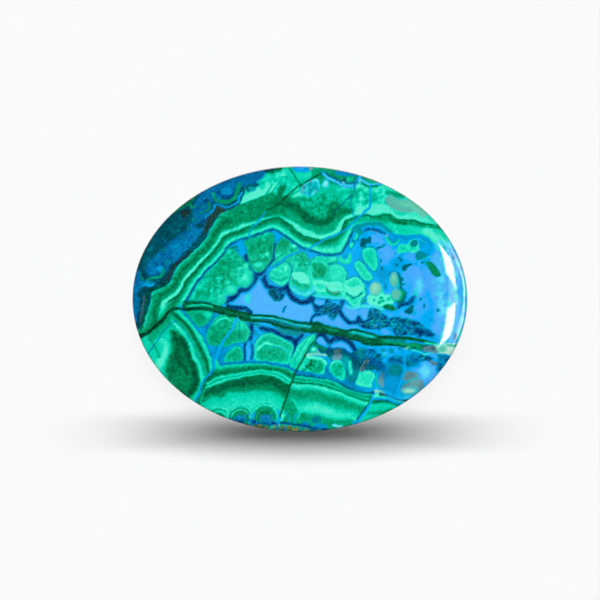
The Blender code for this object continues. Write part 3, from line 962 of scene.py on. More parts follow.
BOTTOM_MARKS = [
    ("spot", BLUE, 0.42, 0.5, [(-6.9, -13.6), (0.65, 0.5)]),
    ("spot", BLUE, 0.42, 0.5, [(-4, -13.5), (0.7, 0.45)]),
    ("vein", BLUE, 0.6, 0.3, [(-5.4, -12.9), (-5.5, -13.4), (-5.4, -14)]),
    ("vein", BLUE, 0.6, 0.3, [(-2.6, -12.6), (-2.4, -13.2), (-2.6, -13.9)]),
    ("spot", GREEN, 0.45, 0.4, [(0.3, -13.4), (0.5, 0.5)]),
    ("spot", GREEN, 0.45, 0.4, [(3.2, -14), (0.6, 0.4)]),
    ("spot", TEAL, 0.55, 0.4, [(1.7, -13.6), (0.6, 0.35)]),
    ("spot", BLUE, 0.45, 0.5, [(0.5, -14.15), (0.4, 0.35)]),
    ("spot", BLUE, 0.5, 0.5, [(2.2, -14.3), (0.8, 0.3)]),
    ("patch", GREEN, 0.44, 0.52, [(-1.9, -11.6), (-1.3, -11.3), (-0.8, -11.5), (-0.6, -12), (-0.3, -12.6),
        (-0.6, -13.2), (-1, -13.9), (-1.3, -13.4), (-2, -12.4)]),
    ("vein", GREEN, 0.84, 0.14, [(-1.2, -11.2), (-0.6, -11.6), (-0.1, -12.8), (-0.4, -13.5)]),
    ("patch", GREEN, 0.92, 0.8, [(-0.2, -12.1), (1.4, -11.6), (3, -12), (4.6, -12.6), (6, -12.9),
        (5.6, -13.4), (4, -13.5), (1.4, -12.9), (0.2, -12.7)]),
    ("vein", GREEN, 0.46, 0.45, [(-1.4, -10.5), (-0.4, -10.5), (0.8, -10.55), (1.8, -10.8)]),
    ("vein", GREEN, 0.44, 0.35, [(2.6, -11.2), (4, -11.45), (5.2, -11.85), (6.4, -12.2)]),
    ("vein", TEAL, 0.72, 0.18, [(-1.9, -12.8), (-1.4, -13.2), (-1.3, -13.9)]),
    ("vein", TEAL, 0.72, 0.18, [(-0.2, -12.8), (-0.7, -13.4), (-0.7, -13.9)]),
    ("vein", BLUE, 0.15, 0.3, [(-8, -13.65), (-7, -13.9), (-6, -13.7), (-5.3, -13.8), (-4.6, -14),
        (-2.8, -14.1)]),
    ("vein", BLUE, 0.15, 0.25, [(-2.3, -13.9), (-1, -14.1), (2, -14.65), (3, -14.7)]),
    ("vein", EARTH, 0.5, 0.4, [(-5.2, -14.25), (-3, -14.5), (-1.5, -14.7), (0.6, -14.85)]),
    ("spot", EARTH, 0.75, 0.5, [(-3.1, -14.4), (0.35, 0.2)]),
    ("spot", EARTH, 0.75, 0.5, [(-2, -14.4), (0.3, 0.2)]),
    ("spot", EARTH, 0.85, 0.5, [(-0.4, -14.8), (0.5, 0.2)]),
    ("spot", EARTH, 0.8, 0.5, [(0.6, -14.85), (0.35, 0.18)]),
    ("vein", TEAL, 0.97, 0.35, [(3.7, -14.15), (4.2, -14.35), (4.7, -14.35)]),
]
lay_marks(BOTTOM_MARKS)
BOTTOM_STRIP = [
    (-8, -13.75), (-5, -14.05), (-2, -14.3), (1, -14.6), (3.6, -14.75), (3, -15.4), (-4, -15.4), (-8, -14.6),
]
slab.scatter([
    (EARTH, 0.8), (EARTH, 0.6), (TEAL, 0.4), (GREEN, 0.35), (BLUE, 0.2), (GREEN, 0.55),
    ], BOTTOM_STRIP, 0.16, 230, 71, soft=0.4)
slab.scatter([(EARTH, 0.9), (EARTH, 0.75)], BOTTOM_STRIP[1:5] + [
    (1, -15.2), (-4, -15)], 0.12, 50, 72, soft=0.4)
slab.scatter([(BLUE, 0.3), (TEAL, 0.55), (BLUE, 0.55), (GREEN, 0.5)], [
    (-8.2, -13.3), (-5.8, -13), (-5.4, -13.9), (-3.2, -13), (-2.6, -14), (-5, -13.9),
    (-8, -13.7)], 0.13, 90, 73)
print("rings:", len(RINGS), "small marks:", len(BOTTOM_MARKS))

# %% The corner at the lower right
CORNER_MARKS = [
    ("patch", GREEN, 0.74, 0.82, [(8.1, -11.3), (9, -11.25), (10, -11.45), (11, -11.75), (12, -12.1),
        (10, -14), (6.2, -14.6), (7, -13), (7.8, -11.9)]),
    ("vein", GREEN, 0.25, 0.3, [(8, -11.6), (9, -11.55), (10, -11.65), (11.2, -11.9)]),
    ("vein", GREEN, 0.5, 0.4, [(7.7, -12.9), (9, -12.8), (10.4, -12.5)]),
    ("vein", GREEN, 0.88, 0.3, [(8.2, -11.05), (9.3, -11.05), (10.3, -11.25), (11.3, -11.5), (12.4, -11.6)]),
    ("vein", BLUE, 0.35, 0.2, [(8.2, -11.3), (9, -11.28), (10, -11.5), (11, -11.75), (12, -12)]),
    ("vein", GREY, 0.12, 0.3, [(9.4, -10.65), (10.5, -10.95), (11.3, -11.25), (12.4, -11.35)]),
    ("vein", GREY, 0.85, 0.3, [(8.4, -10.35), (9.3, -10.45), (9.9, -10.7)]),
    ("vein", TEAL, 0.86, 0.25, [(9.9, -10.55), (11, -10.95), (12, -11.1), (13.2, -10.9)]),
]
CORNER_MARKS += [
    ("vein", GREY, 0.96, 0.26, [(8.45, -10.3), (9, -10.35), (9.6, -10.5)]),
    ("vein", EARTH, 0.3, 0.34, [(9, -10.7), (9.8, -10.85), (11.4, -11.4), (12.5, -11.4)]),
    ("vein", BLUE, 0.72, 0.32, [(9.7, -10.55), (11.2, -11.08), (12, -11.12), (13, -10.9)]),
    ("vein", TEAL, 0.92, 0.12, [(10, -10.75), (10.8, -11), (11.6, -11.1), (12.6, -11)]),
    ("vein", GREEN, 0.94, 0.2, [(8.4, -10.9), (9.4, -11), (11.4, -11.6), (12.2, -11.7)]),
    ("vein", BLUE, 0.62, 0.2, [(8.2, -11.25), (9.4, -11.25), (11.2, -11.8), (12, -12)]),
    ("vein", GREEN, 0.14, 0.16, [(8, -11.6), (8.9, -11.5), (9.8, -11.55)]),
    ("spot", GREEN, 0.97, 0.5, [(8.7, -10.75), (0.25, 0.2)]),
]
lay_marks(CORNER_MARKS)
print("marks in the corner:", len(CORNER_MARKS))

# %% [markdown]
# ## The chamber's cells
#
# Inside the chamber malachite grew as balls that pushed against each other, so a cut
# through them shows cells. Each has a pale rim, a greener core and a deep blue halo where
# the copper-rich gel dried against it. Pools of pale blue fill what was left between.

# %% Pools and deep blue halos
POOLS = [
    ("patch", BLUE, 0.87, None, [(-4.75, 2.3), (-4.5, 1.6), (-4, 1), (-3.3, 0.05), (-2.1, -0.25),
        (-1.7, -0.1), (-1.4, 0.2), (-1, -0.3), (-0.5, -0.6), (0.1, -0.75), (0.8, -0.5), (1.3, -0.9), (1, -2),
        (0.9, -2.4), (-1, -2.15), (-3, -1.65), (-5, -1.45), (-5.6, -1.3), (-6.3, -0.5), (-6.8, -0.3),
        (-6.7, 0.4), (-6.3, 0.6), (-5.8, 0.7), (-5.3, 1.2), (-5, 1.7)]),
    ("patch", TEAL, 0.86, None, [(-6.3, 0.6), (-5.75, 0.65), (-5.7, 0), (-5.75, -0.35), (-6.25, -0.3)]),
    ("patch", BLUE, 0.86, None, [(5.1, -1), (6.2, -1.1), (6.4, -1.7), (5.8, -2.2), (5.1, -1.7)]),
    ("patch", BLUE, 0.85, None, [(6.6, -1), (7.6, -1.1), (7.9, -1.7), (7.3, -2.2), (6.7, -1.9)]),
    ("patch", BLUE, 0.85, None, [(1.3, -2.4), (1.5, -1.95), (1.9, -1.7), (2.4, -1.85), (2.6, -2.2),
        (2.2, -2.5)]),
    ("patch", BLUE, 0.85, None, [(1.5, 0.25), (2.1, 0.05), (2.8, -0.1), (2.8, -0.55), (2.4, -0.65),
        (1.9, -0.4), (1.5, -0.05)]),
    ("patch", BLUE, 0.84, None, [(9.1, -3.4), (9.7, -3.3), (10.2, -3.6), (9.8, -3.9), (9.2, -3.8)]),
]
lay_marks(POOLS)

CELL_BED = [
    (-3.6, 2.9), (-3.5, 3.6), (-3, 4.2), (-2.95, 5.2), (-2.7, 6.2), (-2.1, 6.95), (-1.4, 6.6), (-0.3, 5.75),
    (0.5, 5.4), (0.9, 4.6), (1.5, 4.9), (3.9, 4.85), (4.2, 4.1), (5, 3.7), (5.4, 2.6), (6.6, 2.5),
    (7.3, 1.6), (7.3, 0.3), (6.7, -0.4), (5.6, -0.6), (4.6, 0), (3, 0.1), (1.6, 0.4), (0.4, 0.4),
    (-0.6, 0.8), (-1.3, 1.7), (-2.4, 1.7), (-3.2, 2.1),
]
slab.patch(GREEN, 0.66, CELL_BED)

GLOW = [
    # bright azure where the gel meets the cells
    (0.62, [(-6.4, 5), (-6.1, 4.3), (-5.6, 3.5), (-5.2, 2.7), (-5.5, 1.9), (-6.3, 1.35), (-7, 1.3),
        (-7.4, 0.7), (-7.9, 0.3), (-8.5, 0)]),
    (0.6, [(-4.2, 3.2), (-4, 2.3), (-3.5, 1.75), (-2.8, 1.5), (-2.2, 1.5), (-1.6, 1.8)]),
    (0.5, [(-1.4, 1.4), (-1.1, 0.8), (-0.5, 0.3), (0.2, 0.05), (0.9, 0.2), (1.4, 0.5)]),
    (0.4, [(1.4, 0.4), (3.2, 0), (4.2, -0.05), (4.8, 0)]),
    (0.4, [(4.9, 0.1), (5.6, -0.7), (6.4, -1), (7, -0.5)]),
    (0.35, [(-5.4, -3), (-4.9, -3.4), (-4.6, -3.7)]),
]
for width, route in GLOW:
    slab.vein(BLUE, 0.68, width, route, soft=0.2)

HALOS = [
    ((0.3, 0.5), [(-6.3, 4.9), (-5.8, 3.6), (-5.3, 3), (-5.15, 2.5)]),
    (0.52, [(-5.2, 2.8), (-5.2, 2.3), (-5.9, 1.4), (-6.4, 1.2), (-6.9, 1.1), (-7.5, 0.35), (-8, 0.1),
        (-8.5, -0.2)]),
    (0.45, [(-8.2, -0.75), (-7.6, -0.9), (-6.3, -1), (-5.8, -1.4)]),
    (0.32, [(-5.4, 3.05), (-4.9, 2.9), (-4.4, 3.1), (-3.85, 4), (-3.3, 4.4), (-3, 5), (-2.9, 6.2)]),
    (0.48, [(-4.25, 3.1), (-4.25, 2.5), (-4.05, 1.9), (-3.7, 1.5), (-2.6, 1.2), (-2, 1.3), (-1.6, 1.6),
        (-1.45, 1.2), (-0.9, 0.2), (0.2, -0.3), (1.2, 0.1), (1.4, 0.35)]),
    (0.26, [(1.3, 0.1), (1.4, -0.5), (1.9, -0.75), (2.5, -0.75), (2.9, -0.5), (3, -0.1)]),
    (0.35, [(4.7, -0.3), (4.5, -0.9), (4.5, -1.5), (5.2, -2.4), (5.8, -2.6), (6.4, -2.4), (6.5, -2),
        (6.9, -2.5), (7.4, -2.5), (7.8, -2.2), (8, -1.2), (8.2, -0.9)]),
    (0.2, [(1.1, -2.5), (1.2, -2), (1.6, -1.7), (2.3, -1.6)]),
    (0.4, [(-4.5, -3.2), (-3.5, -3.4), (-2.7, -3.7), (-2, -4.2), (-1.2, -4.3), (-0.6, -4.8), (-0.7, -5.6)]),
    (0.35, [(-0.6, -4.8), (-0.3, -4.3), (0.1, -4)]), (0.35, [(-5.6, -2.8), (-5.6, -3.8), (-6, -4.5)]),
    (0.14, [(-5.6, -4.2), (-5.6, -5.2), (-5.5, -6.1), (-5.6, -6.8)]),
    (0.16, [(-6.3, -4.9), (-6.4, -5.6), (-6.3, -6.3), (-6.3, -6.9)]),
    (0.45, [(1.7, -4.9), (1.9, -4.2), (2.4, -3.9), (2.9, -4.4), (3.3, -4.8), (3.7, -4.5), (4.3, -4.4),
        (5, -4.5), (5.6, -4.9), (6.2, -5.6)]),
    (0.5, [(10.2, -6.8), (10.9, -6.7), (11.6, -7)]),
    (0.3, [(11, -0.8), (11.6, -0.5), (12.2, -0.4), (12.6, -0.1)]),
]
for width, route in HALOS:
    edge = 0.2 + (max(width) if isinstance(width, tuple) else width)
    slab.vein(BLUE, 0.44, edge, route, soft=0.16, strength=0.8)
for width, route in HALOS:
    slab.vein(BLUE, 0.07, width, route, soft=0.12, strength=0.95)
DEEP_BLUE = [
    [(-3.6, 1.2), (-3.2, 1.35), (-2.4, 1.3), (-1.9, 1), (-1.9, 0.4), (-2.3, 0), (-2.9, 0), (-3.4, 0.4),
        (-3.7, 0.8)],
    [(1.3, -0.5), (2, -0.8), (2.9, -0.6), (3.1, -0.2), (3.6, -0.4), (4.2, -0.6), (4.7, -0.4), (4.6, -0.9),
        (4.1, -1.7), (3.8, -2.2), (3.4, -2), (3, -1.6), (2.4, -1.5), (1.9, -1.3), (1.5, -1.3)],
    [(8, -1), (8.4, -1), (8.9, -1.3), (9.4, -1.8), (10.2, -2.1), (11.2, -2.1), (13, -2.4), (14.4, -3.4),
        (15.2, -3.9), (15, -4.2), (14, -4), (13, -4), (12, -3.9), (11, -4), (10.6, -3.6), (10.4, -3),
        (9.6, -3), (8.8, -3.2), (7.6, -3.2), (6.6, -3), (6.5, -2.7), (7.4, -2.6), (7.9, -2.2), (7.9, -1.6)],
]
for outline in DEEP_BLUE:
    slab.patch(BLUE, 0.28, outline, soft=0.2, strength=0.9)
slab.patch(TEAL, 0.22, DEEP_BLUE[0], soft=0.15, strength=0.8)
GRANULES = [(BLUE, 0.04), (BLUE, 0.12), (TEAL, 0.3), (TEAL, 0.5), (BLUE, 0.45)]
BRIGHT_GRANULES = [(TEAL, 0.88), (TEAL, 0.7), (BLUE, 0.72), (GREEN, 0.55)]
for outline, bright_count, seed in zip(DEEP_BLUE, (12, 50, 330), (21, 22, 23)):
    slab.scatter(GRANULES, outline, 0.17, bright_count * 3, seed)
    slab.scatter(BRIGHT_GRANULES, outline, 0.1, bright_count, seed + 10)
slab.scatter([(EARTH, 0.75), (EARTH, 0.6)], DEEP_BLUE[2], 0.09, 60, 37)
slab.spot(BLUE, 0.06, 13.5, -3.55, 0.7, 0.3)
slab.spot(BLUE, 0.08, 12.9, -2.65, 0.5, 0.2)
slab.spot(BLUE, 0.08, 14.6, -3.9, 0.5, 0.2)
print("pools:", len(POOLS), "halos:", len(HALOS), "deep blue patches:", len(DEEP_BLUE))

# %% Cells of malachite
CELLS = [
    # core tone, rim tone, outline
    (0.46, 0.62, [(-12.6, 0), (-12, 1.3), (-10.9, 2.9), (-10.2, 3.6), (-9.7, 4.2), (-8.5, 5.4), (-8.2, 5.9),
        (-7.6, 5.9), (-6.8, 4.9), (-6.4, 4.5), (-5.8, 3.4), (-5.5, 2.8), (-5.6, 2.1), (-6, 1.6),
        (-6.5, 1.45), (-6.9, 1.6), (-7.2, 1.6), (-7.35, 1.3), (-7.4, 0.8), (-7.8, 0.5), (-8.3, 0.6),
        (-8.5, 0.3), (-8.5, -0.2), (-9, -0.6), (-9.6, -0.55), (-10.5, -0.2), (-12.6, -0.1)]),
    (0.48, 0.62, [(-6.2, 6.9), (-4.5, 7.4), (-3.6, 7.6), (-3.15, 7.4), (-3.05, 6.8), (-3.2, 5.2),
        (-3.4, 4.6), (-3.7, 4.2), (-4, 3.7), (-4.4, 3.3), (-4.8, 3.15), (-5.3, 3.3), (-5.6, 3.8),
        (-5.9, 4.3), (-6.15, 5.8), (-6.3, 6.4)]),
    (0.5, 0.7, [(-2.8, 6.1), (-2.1, 7.1), (-1.5, 6.8), (-0.3, 5.85), (-0.2, 5.7), (-0.9, 5.3), (-1.6, 4.95),
        (-2, 4.6), (-2.9, 4.6), (-2.9, 5.3)]),
    (0.6, 0.7, [(-3.5, 3.9), (-2.9, 4.55), (-2.1, 4.5), (-3, 4)]),
    (0.72, 0.84, [(-3.6, 3.1), (-3.1, 3.5), (-2.4, 3.9), (-1.9, 4.25), (-1.5, 4.2), (-1.2, 3.9),
        (-1.05, 3.4), (-1.3, 2.3), (-1.6, 1.9), (-1.9, 1.7), (-2.4, 1.65), (-3.3, 2.2), (-3.6, 2.6)]),
    (0.66, 0.82, [(-1, 4.9), (-0.2, 5.4), (0.4, 5.3), (0.75, 4.9), (0.8, 4.3), (1, 3.8), (1.1, 3),
        (1.1, 2.2), (1.3, 1.5), (1.3, 0.7), (0.9, 0.4), (0.2, 0.35), (-0.4, 0.6), (-0.9, 1), (-1.25, 1.5),
        (-1.3, 2), (-0.9, 3.3), (-1.05, 4.2)]),
    (0.72, 0.8, [(1.05, 4.1), (1.5, 4.6), (1.9, 5), (3.2, 4.85), (3.9, 4.85), (3.75, 4.4), (3.3, 4.2),
        (2.9, 4.15)]),
    (0.74, 0.86, [(1.1, 4), (2.6, 4.3), (3.2, 3.9), (3.6, 4), (4.2, 4), (4.8, 3.8), (5, 3.4), (5.3, 3),
        (5.1, 2.6), (4.8, 0.9), (4.9, 0.3), (4.6, 0), (3.9, -0.05), (3.2, 0.1), (2.5, 0.15), (2, 0.3),
        (1.7, 0.7), (1.6, 1.2), (1.2, 1.9), (1.1, 3)]),
    (0.8, 0.94, [(5.3, 2.3), (5.6, 2.5), (6.2, 2.6), (6.6, 2.4), (7.2, 1.7), (7.2, 1.2), (7.35, 0.9),
        (7.4, 0.5), (7, 0.2), (6.8, -0.1), (6.8, -0.5), (6.4, -0.8), (6, -0.85), (5.5, -0.5), (5.2, -0.1),
        (4.8, 0.2), (4.8, 0.9), (5, 2.1)]),
    (0.74, 0.9, [(6.1, 4.1), (6.3, 4.4), (6.6, 4.55), (7.3, 4), (7.5, 3.5), (8.1, 2.8), (8.1, 2.4),
        (7.8, 2.15), (7.3, 2.15), (6.9, 2.5), (6.3, 3.3), (6.1, 3.7)]),
    (0.72, 0.88, [(7, 5.6), (7.3, 5.85), (7.7, 5.9), (8.2, 5.8), (8.5, 5.4), (8.65, 4.3), (8.75, 3.9),
        (8.5, 3.4), (8.2, 3.3), (7.6, 4), (7.2, 4.4), (7.05, 5)]),
    (0.82, 0.86, [(6.2, 7.65), (6.45, 7.5), (6.45, 7.1), (6.2, 6.75), (5.9, 6.9), (6.1, 7.2)]),
    (0.8, 0.86, [(5.8, 6.6), (6, 6.4), (5.9, 6), (5.65, 5.75), (5.5, 6.1), (5.6, 6.4)]),
    (0.44, 0.62, [(-13.2, -1.35), (-12, -1.3), (-11, -1.3), (-10.2, -1.45), (-10.1, -1.8), (-10.8, -2.8),
        (-11.3, -3), (-11.8, -2.95), (-12.9, -1.8)]),
    (0.5, 0.72, [(-10.7, -4.3), (-10.6, -3.6), (-10.2, -2.9), (-9.9, -2.2), (-9.3, -1.8), (-8.6, -1.65),
        (-7.2, -2.1), (-6.2, -2.8), (-5.9, -3.2), (-5.75, -3.8), (-6, -4.4), (-6.4, -4.8), (-7, -4.85),
        (-7.6, -5), (-8.3, -5.3), (-8.9, -5.4), (-9.6, -5.2), (-10.3, -5.1), (-10.6, -4.8)]),
    (0.48, 0.76, [(-8.75, -6.9), (-8.6, -6.3), (-8.2, -5.8), (-7.8, -5.5), (-7.2, -5.2), (-6.8, -5.4),
        (-6.5, -6.4), (-6.6, -6.9), (-7.4, -7.05), (-8.3, -7.1)]),
    (0.62, 0.84, [(-5.3, -6.4), (-5.25, -5.8), (-5.3, -5.2), (-4.6, -4.1), (-3.4, -3.75), (-1.9, -4.5),
        (-1.3, -4.7), (-0.95, -5), (-0.85, -5.6), (-1.15, -6.9), (-1.5, -7.3), (-2.3, -7.3), (-3, -7.1),
        (-4, -7), (-5, -7), (-5.3, -6.7)]),
    (0.7, 0.78, [(-0.6, -5.8), (-0.3, -5.1), (0.6, -4.2), (1.3, -3.95), (1.7, -4), (1.7, -4.6), (1, -5.6),
        (0.5, -6.1), (-0.4, -7.6), (-0.7, -8), (-1.2, -7.7), (-1.25, -7.2), (-0.95, -6.6)]),
    (0.7, 0.86, [(0.6, -6.1), (-0.1, -7.4), (-0.4, -8), (0.2, -8.05), (0.9, -8.2), (1.7, -8.3), (2.4, -8.5),
        (2.65, -8.3), (2.7, -7.9), (2.9, -7.4), (3, -7.1), (2.5, -6.7), (1.2, -6.3)]),
    (0.66, 0.86, [(3.2, -8), (3.3, -7.3), (3.5, -6.9), (3.9, -6.7), (4.4, -6.75), (5.1, -7.6), (5, -8.8),
        (4.7, -9.15), (4.2, -8.9), (3.6, -8.6)]),
    (0.84, 0.92, [(6.1, -9.3), (6.5, -8.3), (6.8, -8.05), (7.4, -8), (8, -8.15), (8.4, -8.4), (8.4, -8.9),
        (8.1, -9.3), (8.05, -9.9), (7.7, -10), (6.6, -9.7), (6.2, -9.5)]),
]
for core, rim, outline in CELLS:
    slab.vein(TEAL, 0.42, 0.22, outline + outline[:1], strength=0.75)
for core, rim, outline in CELLS:
    slab.patch(GREEN, core, outline, rim=rim)
print("cells:", len(CELLS))

